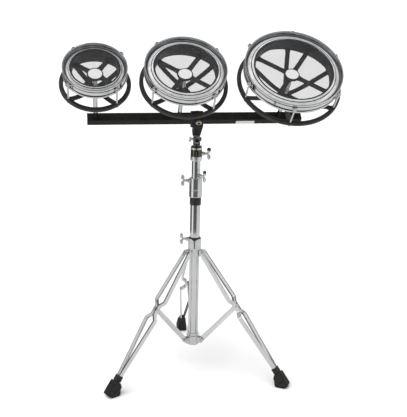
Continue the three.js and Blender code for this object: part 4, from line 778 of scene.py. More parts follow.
# %% The column's four screws
LEG_PIVOT_Z = 410
HUB_RADIUS, HUB_SCREW_RISE, HUB_BORE = 21.5, 41, 18.3
COLUMN_SCREWS = (
    ("height_screw", HEIGHT_SCREW_Z, THROAT, CLAMP_RADIUS + KNUCKLE_REACH, False),
    ("memory_screw", memory_middle, TUBE_BORE, MEMORY_RADIUS + MEMORY_REACH + 0.05, True),
    ("top_screw", TOP_SCREW_Z, TUBE_BORE, TOP_RADIUS + KNUCKLE_REACH, True),
    ("hub_screw", LEG_PIVOT_Z + HUB_SCREW_RISE, HUB_BORE, HUB_RADIUS + KNUCKLE_REACH, False),
)
for name, height, tip, seat, tipped in COLUMN_SCREWS:
    place = stand_at(column_foot + UP * height * MM, axis(f"{name}_turn"))
    wing_screw(name, place, tip, seat, tipped=tipped)
    print(name, "at", round(height, 1), "mm")

# %% [markdown]
# ## Tripod hubs
# The lower hub is fixed to the tube and holds three pairs of ears for the braces. An ear is a flat
# plate with a round end, cast in one piece with the barrel. Here it is pressed and pushed into the
# turned barrel, since nothing shows of the overlap. Domed rivet heads close each pin.

# %% Lower hub
HUB_BOTTOM, HUB_TOP, SLEEVE_RISE, HUB_BARREL, HUB_SLEEVE = 91, 122, 131, 20.5, 18.6
BRACE_PIVOT, BRACE_PIVOT_Z = 30, 108
EYE_RADIUS, PIN_RADIUS, RIVET_RADIUS, RIVET_HEIGHT, RIVET_SEAT, DOME_SHARE = 8.5, 3, 5, 2.4, 0.6, 0.8
BRACE_THICKNESS, CLEVIS_EAR, CLEVIS_GAP = 5, 5.5, 0.8
LEGS = (1, 2, 3)


def ear(shape, start, reach, thickness, edge, at):
    """A flat plate with a round end, from inside a barrel outwards."""
    round_end = arc(-90, 90, 16, EYE_RADIUS, (reach, 0))
    outline = [Vector((start, -EYE_RADIUS))] + round_end + [Vector((start, EYE_RADIUS))]
    pressed(shape, outline, -thickness / 2, thickness / 2, edge, at)


def rivet(shape, at, face):
    """A domed head standing on the plane Z = face."""
    dome = [(RIVET_RADIUS * p.x, face + RIVET_HEIGHT * p.y ** DOME_SHARE) for p in arc(0, 90, 7)[:-1]]
    seat = [(0, face - RIVET_SEAT), (RIVET_RADIUS, face - RIVET_SEAT)]
    turned(shape, seat + dome + [(0, face + RIVET_HEIGHT)], at, 32)


def pin(shape, at, half):
    turned(shape, bar(PIN_RADIUS, -half, half, 0.2), at, ROUND_BAR_STEPS)
    rivet(shape, at, half)
    rivet(shape, at @ OVER, half)


outward = {i: axis(f"leg_{i}_fold").cross(UP) for i in LEGS}
azimuths = {i: math.degrees(math.atan2(outward[i].y, outward[i].x)) for i in LEGS}
shape = shaped(turned, rounded([
    (SOCKET, HUB_BOTTOM), (HUB_BARREL, HUB_BOTTOM, 1.2), (HUB_BARREL, HUB_TOP, 1.5),
    (HUB_SLEEVE, HUB_TOP + 1, 0.5), (HUB_SLEEVE - 0.8, SLEEVE_RISE, 0.8), (SOCKET, SLEEVE_RISE, 0.5)],
    CORNER), steps=FINE_STEPS)
ear_middle = (BRACE_THICKNESS + CLEVIS_EAR) / 2 + CLEVIS_GAP
for i in LEGS:
    around = turn_z(azimuths[i]) @ move(0, 0, BRACE_PIVOT_Z)
    for side in (-1, 1):
        at = around @ STANDING @ move(0, 0, side * ear_middle)
        ear(shape, SOCKET + 2, BRACE_PIVOT, CLEVIS_EAR, 0.8, at)
    pin(shape, around @ move(BRACE_PIVOT, 0, 0) @ STANDING, ear_middle + CLEVIS_EAR / 2)
finished("lower_hub", shape, column_place, CAST_CHROME, "base")
print("legs point to", [round(a, 1) for a in azimuths.values()])

# %% [markdown]
# The leg hub slides on a moulded bushing, and its screw fixes it. Its top edge dips to a V at the
# front, where the slot starts. One thick ear for each leg goes between the two strips of that leg.

# %% Leg hub and its bushing
LEG_HUB_DROP, LEG_HUB_RISE = 14, 45
LEG_PIVOT, LEG_EAR_THICKNESS = 28, 18.4
HUB_NOTCH_WIDTH, HUB_NOTCH, HUB_SLOT_RISE = 20, 6, 14
BUSHING_BORE, BUSHING_RADIUS, BUSHING_PROUD = 16.3, 18, 4

hub = shaped(turned, rounded([
    (HUB_BORE, -LEG_HUB_DROP), (HUB_RADIUS, -LEG_HUB_DROP, 1.5), (HUB_RADIUS, LEG_HUB_RISE, 1.2),
    (HUB_BORE, LEG_HUB_RISE, 0.6)], CORNER), steps=FINE_STEPS)
hub = notched(hub, HUB_NOTCH_WIDTH, HUB_NOTCH, LEG_HUB_RISE, HUB_RADIUS)
hub = slotted(hub, HUB_SLOT_RISE, LEG_HUB_RISE + SAW_ABOVE, HUB_RADIUS)
for i in LEGS:
    ear(hub, HUB_BORE + 1.5, LEG_PIVOT, LEG_EAR_THICKNESS, 1.2, turn_z(azimuths[i]) @ STANDING)
knuckle(hub, HUB_BORE + 1, HUB_RADIUS + KNUCKLE_REACH, HUB_SCREW_RISE, 180)
hub_place = stand_at(column_foot + UP * LEG_PIVOT_Z * MM, (1, 0, 0))
finished("leg_hub", hub, hub_place, CAST_CHROME, "leg_hub")

bushing = tube(BUSHING_BORE, BUSHING_RADIUS, -LEG_HUB_DROP, LEG_HUB_RISE + BUSHING_PROUD, 0.5)
finished("leg_hub_bushing", shaped(turned, bushing, steps=FINE_STEPS), hub_place, PLASTIC, "leg_hub")
print("leg hub", LEG_HUB_DROP + LEG_HUB_RISE, "mm high")

# %% [markdown]
# ## Legs
# Each leg is a pair of pressed steel channels. They start flat on the hub's ear, bow out, pinch
# together where the brace takes hold, bow out again and end in a rubber foot. A channel is one
# cross-section skinned along a bent path. A curve object with a bevel could do that too, but here
# the section keeps its width square to the leg's plane through every bend, as a press leaves it.

# %% Leg strips
FOOT_REACH, FOOT_AXIS_Z, FOOT_LENGTH, POCKET = 311.7, 20, 73, 25.7
LEG_RUN, LEG_DROP = FOOT_REACH - LEG_PIVOT, LEG_PIVOT_Z - FOOT_AXIS_Z
LEG_LENGTH, LEG_SPLAY = math.hypot(LEG_RUN, LEG_DROP), math.atan2(LEG_RUN, LEG_DROP)
LEG_SLANT = math.tan(LEG_SPLAY)
PINCH = 0.42 * LEG_LENGTH
FOOT_MOUTH = LEG_PIVOT_Z / math.cos(LEG_SPLAY) - FOOT_LENGTH
STRIP_HALF, STRIP_DEEP, STRIP_METAL = 7, 2.5, 1.5
HEAD_OFFSET, BOW_OFFSET, PINCH_OFFSET, FOOT_OFFSET, NECK_OFFSET, BEND_RADIUS = 12, 22.5, 6.2, 5, 7.5, 9
BEND_SHARES = ((0.36, BOW_OFFSET), (0.392, NECK_OFFSET), (0.404, PINCH_OFFSET), (0.45, PINCH_OFFSET),
               (0.462, NECK_OFFSET), (0.494, BOW_OFFSET))
HEAD_ANGLES = (4, 15, 30, 50, 70, 90)
THINNEST = 0.004
inside = STRIP_HALF - STRIP_METAL
floor_of_channel = STRIP_DEEP - STRIP_METAL
strip_section = guarded(rounded([
    (-STRIP_HALF, -STRIP_DEEP), (-STRIP_HALF, STRIP_DEEP, 1.3), (STRIP_HALF, STRIP_DEEP, 1.3),
    (STRIP_HALF, -STRIP_DEEP), (inside, -STRIP_DEEP), (inside, floor_of_channel), (-inside, floor_of_channel),
    (-inside, -STRIP_DEEP)], CORNER))


def strip(shape, side):
    """One channel of a leg, on the side of the leg that side gives as 1 or -1."""
    path = [Vector((-STRIP_HALF * math.cos(math.radians(a)), HEAD_OFFSET)) for a in HEAD_ANGLES]
    bends = [(EYE_RADIUS, HEAD_OFFSET)] + [(share * LEG_LENGTH, offset) for share, offset in BEND_SHARES]
    bends += [(FOOT_MOUTH, FOOT_OFFSET), (FOOT_MOUTH + POCKET, FOOT_OFFSET)]
    path += rounded(bends, BEND_RADIUS, closed=False)
    rings = []
    for i, here in enumerate(path):
        run = (path[min(i + 1, len(path) - 1)] - path[max(i - 1, 0)]).normalized()
        share = math.sqrt(max(THINNEST, 1 - (here.x / STRIP_HALF) ** 2)) if here.x < 0 else 1
        rings.append([(p.x * share, side * (here.y + p.y * run.x), -(here.x - p.y * run.y))
                      for p in strip_section])
    skinned(shape, rings)
    rivet(shape, move(0, 0, -PINCH) @ Matrix.Rotation(-side * RIGHT_ANGLE, 4, "X"), PINCH_OFFSET + STRIP_DEEP)
    shape.normal_update()
    # The outward-facing flange faces get the painted dark reflection.
    for face in shape.faces:
        face.material_index = int(face.normal.x > 0.8)


def leg_place(i):
    up_the_leg = UP * math.cos(LEG_SPLAY) - outward[i] * math.sin(LEG_SPLAY)
    return stand_at(pivot(f"leg_{i}_fold"), outward[i], up_the_leg)


for i in LEGS:
    for side, which in ((1, "near"), (-1, "far")):
        finished(f"leg_{i}_{which}_strip", shaped(strip, side), leg_place(i), LEG_STRIP, f"leg_{i}")
    shape = shaped(pin, STANDING, HEAD_OFFSET + STRIP_DEEP + FIT)
    finished(f"leg_{i}_pin", shape, leg_place(i), LEG_CHROME, f"leg_{i}")
print("leg splay", round(math.degrees(LEG_SPLAY), 2), "degrees")

# %% [markdown]
# ## Feet
# A foot is moulded rubber: a ribbed collar that grips the strips, a groove, and a block that widens
# to the heel. Its sole is cut at the leg's slant, so that it stands flat on its heel while the toe
# stays square to the leg. It is skinned from rounded rectangles, and each one is stopped at the
# floor, so that the sole comes out of the same rings as the sides. Thin upright ribs give grip.

# %% Rubber feet
FOOT_CORNER, CORNER_STEPS = 4, 4
TOE, HEEL, FOLD = 12.5, 27, -5.5
BLOCK_START, BLOCK_HALF, BLOCK_SIDE, BLOCK_SPREAD = 21.5, 14.25, 14, 3
HEEL_DROP = 49.4
SOLE_ROUND = ((3.4, 0), (1.5, 0.5), (0.4, 1.4), (0, 2.6))
FOOT_NECK = ((0, 9.9, 9.4), (0.6, 10.5, 10), (3.4, 10.5, 10), (4, 10, 9.5), (5.4, 10, 9.5), (6, 10.5, 10),
             (9, 10.5, 10), (9.6, 10, 9.5), (11, 10, 9.5), (11.6, 10.5, 10), (16.4, 10.5, 10), (17, 10, 9.6),
             (17.3, 9, 9.2), (19.3, 9, 9.2), (19.6, 12, 11.8), (BLOCK_START, BLOCK_HALF, BLOCK_SIDE))
BLOCK_STATIONS = (24, 31, 38, 45, HEEL_DROP, 55, 60)
TOE_LENGTH = FOOT_LENGTH + FOLD * LEG_SLANT
FLUTE_PITCH, FLUTE_HALF, FLUTE_PROUD, FLUTE_TOP, FLUTE_EDGE, FLUTE_END = 4.2, 1.1, 0.7, 25, 0.6, 6


def foot_sides(down):
    """How far the block reaches to the heel, to the toe and to each side, at a distance from the mouth."""
    share = min(1, (down - BLOCK_START) / (HEEL_DROP - BLOCK_START))
    return (-BLOCK_HALF - (HEEL - BLOCK_HALF) * share, BLOCK_HALF - (BLOCK_HALF - TOE) * share,
            BLOCK_SIDE + BLOCK_SPREAD * share)


def foot_ring(heel, toe, half, down, lift=0, inward=0):
    """A rounded rectangle across the leg, from toe to heel on one side and back on the other."""
    heel, toe, half, corner = heel + inward, toe - inward, half - inward, FOOT_CORNER - inward / 2
    side = arc(0, 90, CORNER_STEPS, corner, (toe - corner, half - corner))
    side += [((toe - corner + FOLD) / 2, half), (FOLD, half), ((heel + corner + FOLD) / 2, half)]
    side += arc(90, 180, CORNER_STEPS, corner, (heel + corner, half - corner))

    def stopped(x, y):
        floor = FOOT_LENGTH + x * LEG_SLANT
        return x, y, -FOOT_MOUTH - min(down, min(floor, TOE_LENGTH) - lift)

    return [stopped(x, y) for x, y in side] + [stopped(x, -y) for x, y in reversed(side)]


def flute(shape, side, x):
    """One thin rib down a side of the block."""
    bottom = min(FOOT_LENGTH + x * LEG_SLANT, TOE_LENGTH) - FLUTE_END
    rib = []
    for down in (FLUTE_TOP, FLUTE_TOP + FLUTE_EDGE, bottom - FLUTE_EDGE, bottom):
        y, proud = foot_sides(down)[2], FLUTE_PROUD if FLUTE_TOP < down < bottom else 0
        ends = [(-FLUTE_HALF, -1), (FLUTE_HALF, -1), (FLUTE_HALF * 0.6, proud), (-FLUTE_HALF * 0.6, proud)]
        rib.append([(x + across, side * (y + out), -FOOT_MOUTH - down) for across, out in ends])
    skinned(shape, rib)


def foot(shape):
    rings = [foot_ring(-x, x, y, down) for down, x, y in FOOT_NECK]
    rings += [foot_ring(*foot_sides(down), down, lift=SOLE_ROUND[0][0]) for down in BLOCK_STATIONS]
    rings += [foot_ring(*foot_sides(TOE_LENGTH), TOE_LENGTH, lift, inward) for lift, inward in SOLE_ROUND]
    skinned(shape, rings)
    for side in (-1, 1):
        for k in range(-4, 3):
            flute(shape, side, k * FLUTE_PITCH)


for i in LEGS:
    finished(f"leg_{i}_foot", shaped(foot), leg_place(i), RUBBER, f"leg_{i}")
print("a foot is", round(HEEL + TOE, 1), "mm from heel to toe")

# %% [markdown]
# ## Braces
# A brace is a flat bar with a shallow groove pressed into each side to stiffen it. The groove fades
# out before the eyes, where the bar has to stay flat between the ears. One ring of points is worked
# out for each station along the bar, so the fade and the round ends need no cutting.

# %% Braces
BRACE_LENGTH, BRACE_SPLAY = 181.175, math.radians(40.288)
BRACE_HALF, BRACE_EDGE = 7.5, 0.6
GROOVE_HALF, GROOVE_DEPTH, GROOVE_START, GROOVE_FADE, GROOVE_SLOPE = 4, 0.6, 14, 9, 0.7
EYE_STATIONS = (-7.49, -7.2, -6.5, -5.3, -3.6, -1.8, 0)


def brace_ring(z):
    beyond = max(-z, z - BRACE_LENGTH, 0)
    half = math.sqrt(max(0.02, BRACE_HALF ** 2 - beyond ** 2))
    fade = max(0.0, min(1.0, (min(z, BRACE_LENGTH - z) - GROOVE_START) / GROOVE_FADE))
    groove, depth = min(GROOVE_HALF * (0.3 + 0.7 * fade), half * 0.45), GROOVE_DEPTH * fade
    thick = BRACE_THICKNESS / 2
    side = [(half, 0), (half, thick - BRACE_EDGE), (half - BRACE_EDGE * half / BRACE_HALF, thick),
            (groove + GROOVE_SLOPE, thick), (groove, thick - depth)]
    top = side + [(-x, y) for x, y in reversed(side[1:])]
    return [(x, y, z) for x, y in top + [(-x, -y) for x, y in top]]


stations = [*EYE_STATIONS, *(GROOVE_START + GROOVE_FADE * k / 4 for k in range(5))]
stations += [BRACE_LENGTH - z for z in reversed(stations)]
for i in LEGS:
    along = outward[i] * math.sin(BRACE_SPLAY) + UP * math.cos(BRACE_SPLAY)
    place = stand_at(pivot(f"brace_{i}_fold"), outward[i], along)
    shape = shaped(skinned, [brace_ring(z) for z in stations])
    finished(f"brace_{i}", shape, place, LEG_CHROME, f"brace_{i}")
print("braces", BRACE_LENGTH, "mm from eye to eye")

# %% [markdown]
# ## Tilter
# A stem drops into the top clamp and ends in two jaws. A tongue between them carries the rail's
# bracket, and one bolt squeezes all of it: a wing nut on the left, a small knob on the right. Each
# cheek is a pressed plate with a round top, and a thin turned disc marks where the bolt bears.

# %% Tilter
STEM_RADIUS, STEM_END = 9.5, 80
JAW_HALF, JAW_SLOT, JAW_EYE, JAW_BASE, JAW_FLOOR, JAW_FACE, JAW_PROUD = 10, 5.8, 11, 18, 11.8, 7.2, 0.25
TONGUE_HALF, TONGUE_EYE = 5, 10.5
CAP_BOTTOM, CAP_TOP, CAP_HALF_X, CAP_HALF_Y = 24.7, 29.7, 6.5, 9
KNOB_RADIUS, KNOB_START, KNOB_END, KNOB_TEETH, TOOTH_DEPTH, KNOB_STEPS = 6.4, 10.3, 14.3, 12, 0.45, 96
BOLT_RADIUS, BOLT_TIP, TIP_PROUD = 3, 2.6, 0.9
SMALL_SHARE = 0.7
ACROSS = Matrix(((0, 0, 1, 0), (1, 0, 0, 0), (0, 1, 0, 0), (0, 0, 0, 1)))

shape = shaped(turned, bar(STEM_RADIUS, -STEM_END, -JAW_BASE + 1, 1))
cheek = [Vector((-JAW_EYE, -JAW_BASE)), Vector((JAW_EYE, -JAW_BASE))] + arc(0, 180, 20, JAW_EYE)
for side, at in ((-1, LYING @ OVER), (1, LYING)):
    pressed(shape, cheek, *sorted((side * JAW_SLOT, side * JAW_HALF)), 1.4, ACROSS)
    turned(shape, bar(JAW_FACE, JAW_HALF - 1, JAW_HALF + JAW_PROUD, 0.4), at, 48)
pressed(shape, box_outline(JAW_HALF, JAW_EYE, 3), -JAW_BASE, -JAW_FLOOR, 1)
finished("tilter_stem", shape, stem_place, JAW, "stem")

shape = shaped(turned, bar(BOLT_RADIUS, -JAW_HALF, KNOB_START + 2, 0.3), LYING, ROUND_BAR_STEPS)
turned(shape, bar(BOLT_TIP, KNOB_END - 0.5, KNOB_END + TIP_PROUD, 0.4), LYING, ROUND_BAR_STEPS)
knob = []
for i in range(KNOB_STEPS):
    a = math.tau * i / KNOB_STEPS
    reach = KNOB_RADIUS - TOOTH_DEPTH * (1 + math.cos(KNOB_TEETH * a))
    knob.append(Vector((reach * math.cos(a), reach * math.sin(a))))
pressed(shape, knob, KNOB_START, KNOB_END, 0.9, LYING)
finished("tilter_bolt", shape, stem_place, PLASTIC, "stem")
wing_screw("tilter_wing", stand_at(hinge, -axis("tilt"), lean), JAW_HALF + FIT, JAW_HALF, share=SMALL_SHARE)

tongue = arc(-180, 0, 12, TONGUE_EYE) + [Vector((side * TONGUE_EYE, CAP_BOTTOM + 1)) for side in (1, -1)]
shape = shaped(pressed, tongue, -TONGUE_HALF, TONGUE_HALF, 0.8, ACROSS)
pressed(shape, box_outline(CAP_HALF_X, CAP_HALF_Y, 2), CAP_BOTTOM, CAP_TOP, 0.8)
finished("tilter_head", shape, tilter_place, JAW, "tilter_head")
print("jaws", 2 * JAW_HALF, "mm wide, tongue", 2 * TONGUE_HALF)

# %% [markdown]
# ## Rail and bracket
# The rail is a painted square-cornered tube with plugs in its ends. Its section is skinned from end
# to end, outside and inside, and the ends are drawn in a little as a file would leave them. The
# sticker on its front is a thin raised patch that stays blank.

# %% Rail
RAIL_LEFT, RAIL_RIGHT = -330.7, 304.9
RAIL_TOP, RAIL_HALF_DEPTH, RAIL_HALF_HEIGHT, RAIL_WALL = 112.8, 14, 11.25, 2
RAIL_CORNER, RAIL_INNER_CORNER = 2.2, 1.2
RAIL_MIDDLE = RAIL_TOP - RAIL_HALF_HEIGHT
PLUG_INSET, PLUG_DEPTH = 1.2, 8
STICKER_LEFT, STICKER_RIGHT, STICKER_LOW, STICKER_HIGH = 105, 161, 91.6, 104.4


def sleeve(shape, outer, inner, left, right, middle, edge):
    """A folded sleeve along X: an outer outline and an inner one with as many points."""
    soft = drawn_in(outer, edge)
    near, far = left + edge, right - edge
    stops = ((soft, left), (outer, near), (outer, near + GUARD), (outer, far - GUARD), (outer, far),
             (soft, right), (inner, right), (inner, left))
    skinned(shape, [[(x, p.x, middle + p.y) for p in outline] for outline, x in stops], looped=True)


shape = bmesh.new()
outer = guarded(box_outline(RAIL_HALF_DEPTH, RAIL_HALF_HEIGHT, RAIL_CORNER))
inner = guarded(box_outline(RAIL_HALF_DEPTH - RAIL_WALL, RAIL_HALF_HEIGHT - RAIL_WALL, RAIL_INNER_CORNER))
sleeve(shape, outer, inner, RAIL_LEFT, RAIL_RIGHT, RAIL_MIDDLE, 0.4)
plug = drawn_in(inner, 0.1)
for left in (RAIL_LEFT + PLUG_INSET, RAIL_RIGHT - PLUG_INSET - PLUG_DEPTH):
    skinned(shape, [[(x, p.x, RAIL_MIDDLE + p.y) for p in plug] for x in (left, left + PLUG_DEPTH)])
sticker = rounded([(STICKER_LEFT, STICKER_LOW), (STICKER_RIGHT, STICKER_LOW), (STICKER_RIGHT, STICKER_HIGH),
                   (STICKER_LEFT, STICKER_HIGH)], 1.5)
in_finish(shape, 1, pressed, sticker, RAIL_HALF_DEPTH - 0.3, RAIL_HALF_DEPTH + 0.15, 0.1, STANDING)
finished("rail", shape, rail_place, RAIL_LOOK, "tilter_head")
print("rail", round(RAIL_RIGHT - RAIL_LEFT, 1), "mm long")

# %% [markdown]
# A folded bracket wraps round the rail and a brass bolt goes through both. Below, a tapered block
# brings the load down to the tilter. The bolt's round head has a socket for a key, so its profile
# dips in the middle, and a dark disc at the bottom of the dip is painted shade for the deep socket.

# %% Bracket and its bolt
BRACKET_LEFT, BRACKET_RIGHT, BRACKET_WALL, WRAP_BOTTOM, WRAP_TOP = -29.5, 7.5, 3, 79, 116.1
BLOCK_X, BLOCK_CORNER = -5, 2
BLOCK_RINGS = ((30, 11.6, 9.9), (30.7, 12.25, 10.5), (31.5, 12.3, 10.6), (79.2, 14.7, 12.9), (80, 14.75, 13),
               (80.5, 14.7, 12.9))
BOLT_X, BOLT_RISE = -8, 4
BOLT_HEAD, BOLT_HEAD_HEIGHT, BOLT_NUT, BOLT_NUT_HEIGHT = 9, 6.5, 6.5, 4
KEY_RADIUS, KEY_FLOOR = 4, 2.4

shape = bmesh.new()
wrap_y, wrap_z = RAIL_HALF_DEPTH + BRACKET_WALL + FIT, (WRAP_TOP - WRAP_BOTTOM) / 2
lower = Vector((0, (WRAP_TOP + WRAP_BOTTOM) / 2 - RAIL_MIDDLE))
wrap = [p + lower for p in guarded(box_outline(wrap_y, wrap_z, 2.4))]
sleeve(shape, wrap, guarded(box_outline(RAIL_HALF_DEPTH + FIT, RAIL_HALF_HEIGHT + FIT, RAIL_CORNER)),
       BRACKET_LEFT, BRACKET_RIGHT, RAIL_MIDDLE, 0.8)
skinned(shape, [[(p.x + BLOCK_X, p.y, z) for p in guarded(box_outline(half_x, half_y, BLOCK_CORNER))]
                for z, half_x, half_y in BLOCK_RINGS])
finished("rail_bracket", shape, rail_place, BLACK_PAINT, "tilter_head")

shape = bmesh.new()
through = move(BOLT_X, 0, RAIL_MIDDLE + BOLT_RISE) @ STANDING
face = RAIL_HALF_DEPTH + BRACKET_WALL + 0.6
head_top = face + BOLT_HEAD_HEIGHT
turned(shape, bar(BOLT_RADIUS, -face - BOLT_NUT_HEIGHT, face, 0.3), through, ROUND_BAR_STEPS)
turned(shape, rounded([
    (0, face - 0.5, 0), (BOLT_HEAD - 0.6, face - 0.5), (BOLT_HEAD, face + 0.6, 0.6),
    (BOLT_HEAD, head_top - 2, 1.6), (BOLT_HEAD - 3, head_top, 1.6), (KEY_RADIUS + 0.4, head_top, 0.5),
    (KEY_RADIUS, face + KEY_FLOOR + 0.2, 0.4), (0, face + KEY_FLOOR, 0)], CORNER), through)
pressed(shape, hexagon(BOLT_NUT), -face - BOLT_NUT_HEIGHT, -face, 0.5, through)
# The dark disc is painted shade at the bottom of the key socket.
in_finish(shape, 1, turned, bar(KEY_RADIUS - 0.3, face + 2, face + 3, 0.2), through, 32)
finished("bracket_bolt", shape, rail_place, BRASS, "tilter_head")
print("bracket", BRACKET_RIGHT - BRACKET_LEFT, "mm wide")

# %% [markdown]
# ## Drums
# A drum without a shell has two wheels. The upper wheel is the bearing edge: the film is drawn over
# it by a hoop. The lower wheel hangs on the hoop's rods, and its threaded boss sits on the post. To
# tune, the player turns the hoop: the wheel climbs or sinks on the thread and takes the hoop along.
# The three drums have the same heights and differ in a few sizes, so those few are in one table.

# %% The three drums' sizes
DRUMS = {
    "small": {"hoop": 85.5, "edge": 65.6, "dish": 20, "arms": 4, "start": 37.5},
    "medium": {"hoop": 112, "edge": 87, "dish": 20, "arms": 4, "start": 37.5},
    "large": {"hoop": 138, "edge": 111, "dish": 47, "arms": 6, "start": 21},
}
RING_MIDDLE, RING_BOTTOM, RING_TOP = 139, 133.5, 144.5
LIP_WIDTH, ROD_OUTSET = 3, 4.6
DRUM_STEPS = 144
for name, drum in DRUMS.items():
    drum["inner"] = drum["hoop"] - LIP_WIDTH
    drum["rod"] = drum["hoop"] + ROD_OUTSET
    drum["angles"] = [drum["start"] + 360 * k / drum["arms"] for k in range(drum["arms"])]
    drum["boss"] = RING_MIDDLE - drum["dish"]
    print(name, "film", 2 * drum["inner"], "mm across,", drum["arms"], "rods")

# %% [markdown]
# The posts are ground bar with a thread near the lower wheel and a black foot. A flanged nut above
# the rail and a plain one below lock each post. The bar is turned in three lengths: the stud and
# the plain part, the threaded part, and the pin on top that holds the upper wheel.

# %% Posts and their nuts
POST_RADIUS, POST_PIN, STUD_RADIUS = 6, 4.5, 5
UPPER_ARM_TOP, UPPER_BOSS_BOTTOM = 178.3, 163.3
STUD_END, STUD_CHAMFER, BLACK_FOOT = -32.5, 0.8, 24
NUT_RADIUS, NUT_BOTTOM, NUT_TOP, NUT_UNDER, NUT_UNDER_TOP = 9, 1.5, 8.3, -28.8, -22.8
FLANGE_BORE, FLANGE_RADIUS, FLANGE_BOTTOM, FLANGE_TOP = 5.4, 11.5, 0.3, 2.3
THREAD_REACH, THREAD_ABOVE, POST_PITCH, POST_DEPTH = 52, 20, 1.5, 0.3
POST_STEPS = 48


def post(shape, drum):
    thread_from, thread_to = drum["boss"] - THREAD_REACH, drum["boss"] + THREAD_ABOVE
    neck, seat, overlap = POST_RADIUS - 0.7, UPPER_BOSS_BOTTOM - FIT, thread_from + 0.4
    turned(shape, [(0, STUD_END), (STUD_RADIUS - STUD_CHAMFER, STUD_END),
                   (STUD_RADIUS, STUD_END + STUD_CHAMFER), (STUD_RADIUS, NUT_TOP + 0.3),
                   (POST_RADIUS - 0.5, NUT_TOP + 0.3), (POST_RADIUS, NUT_TOP + 0.8),
                   (POST_RADIUS, overlap), (0, overlap)], steps=POST_STEPS)
    turned(shape, threaded(POST_RADIUS, thread_from, thread_to, POST_PITCH, POST_DEPTH), steps=POST_STEPS)
    turned(shape, [(0, thread_to - 1), (neck, thread_to - 1), (neck, seat), (POST_PIN, seat),
                   (POST_PIN, UPPER_ARM_TOP - 0.6), (POST_PIN - 0.6, UPPER_ARM_TOP), (0, UPPER_ARM_TOP)],
           steps=POST_STEPS)
    pressed(shape, hexagon(NUT_RADIUS), NUT_UNDER, NUT_UNDER_TOP, 0.8)
    cut_at(shape, BLACK_FOOT)
    finish_where(shape, lambda p: p.z < BLACK_FOOT)


for name, drum in DRUMS.items():
    finished(f"{name}_post", shaped(post, drum), drum_places[name], POST, "tilter_head")
    flange = tube(FLANGE_BORE, FLANGE_RADIUS, FLANGE_BOTTOM, FLANGE_TOP, 0.6)
    shape = shaped(turned, flange, steps=POST_STEPS)
    pressed(shape, hexagon(NUT_RADIUS), NUT_BOTTOM, NUT_TOP, 1)
    finished(f"{name}_post_nut", shape, drum_places[name], BLACK_PAINT, "tilter_head")
print("posts", round(UPPER_ARM_TOP - STUD_END, 1), "mm long")

# %% [markdown]
# The wheels are castings, and their arms grow out of the rim with wide fillets. An arm is skinned
# from rounded cross-sections whose width swells at both ends. The lower wheel's arms also sink to
# the boss in one curve, shallow on the two smaller drums and deep on the large one.

# %% The lower wheel
ARM_WIDTH, ARM_FLARE, FLARE_LENGTH, ARM_THICKNESS, ARM_CORNER = 13, 5, 18, 6, 1.6
ARM_ROOT, ROOT_FLARE, ROOT_LENGTH, ARM_STATIONS, HALVINGS = 8, 2.5, 12, 26, 24
BOSS_RADIUS, BOSS_HEIGHT, BOSS_TAPER, BOSS_GAP = 15, 17, 1.6, 0.5
RING_MARGIN, RING_WIDTH, RING_CHAMFER, SWELL_POWER = 6.4, 11.5, 2.5, 2.2


def along_curve(a, b, c, x):
    """The height at x of a bend from a through b to c."""
    low, high = 0.0, 1.0
    for _ in range(HALVINGS):
        t = (low + high) / 2
        if a[0] * (1 - t) ** 2 + 2 * b[0] * t * (1 - t) + c[0] * t * t < x:
            low = t
        else:
            high = t
    return a[1] * (1 - t) ** 2 + 2 * b[1] * t * (1 - t) + c[1] * t * t


def arm_ring(x, half, bottom, top):
    corner = min(ARM_CORNER, half * 0.6, (top - bottom) * 0.4)
    section = rounded([(-half, bottom), (half, bottom), (half, top), (-half, top)], corner)
    return [(x, p.x, p.y) for p in section]


def swell(x, end, length, amount):
    """How much wider an arm is near the rim."""
    return amount * max(0, 1 - (end - x) / length) ** SWELL_POWER


def root_swell(x, start, length, amount):
    """How much wider an arm is near the boss."""
    return amount * max(0, 1 - (x - start) / length) ** 2


def lower_wheel(shape, drum):
    inner, outer = drum["rod"] + RING_MARGIN - RING_WIDTH, drum["rod"] + RING_MARGIN
    turned(shape, rounded([
        (inner, RING_BOTTOM + 1), (inner + 1, RING_BOTTOM), (outer - RING_CHAMFER, RING_BOTTOM, 1.2),
        (outer, RING_BOTTOM + RING_CHAMFER, 1.2), (outer, RING_TOP - RING_CHAMFER, 1.2),
        (outer - RING_CHAMFER, RING_TOP, 1.2), (inner + 1, RING_TOP), (inner, RING_TOP - 1)], 1),
        steps=DRUM_STEPS)
    boss_top, bore = drum["boss"] + BOSS_HEIGHT / 2, POST_RADIUS + BOSS_GAP
    turned(shape, rounded([
        (bore, boss_top - BOSS_HEIGHT), (BOSS_RADIUS, boss_top - BOSS_HEIGHT, 1.5),
        (BOSS_RADIUS - BOSS_TAPER, boss_top, 2), (bore, boss_top)], 0.6))
    end, shelf = drum["rod"], boss_top - ARM_THICKNESS / 2
    bend, under = end - 2 * drum["dish"], shelf - ARM_THICKNESS
    flat = max(bend, 13) / 2
    for degrees in drum["angles"]:
        rings = []
        for k in range(ARM_STATIONS + 1):
            x = ARM_ROOT + (end + 1.5 - ARM_ROOT) * k / ARM_STATIONS
            rim_top, rim_low = (end, RING_TOP - RING_CHAMFER), (end - 5, RING_BOTTOM)
            top = shelf if x < flat else along_curve((flat, shelf), (bend, shelf), rim_top, min(x, end))
            low = along_curve((ARM_ROOT, under), (bend + 2.5, under), rim_low, min(x, rim_low[0]))
            wider = swell(x, end, FLARE_LENGTH, ARM_FLARE) + root_swell(x, ARM_ROOT, ROOT_LENGTH, ROOT_FLARE)
            rings.append(arm_ring(x, ARM_WIDTH / 2 + wider, low, top))
        skinned(shape, rings, turn_z(degrees))


print("an arm is", ARM_WIDTH, "mm wide and", ARM_WIDTH + 2 * ARM_FLARE, "mm at the rim")


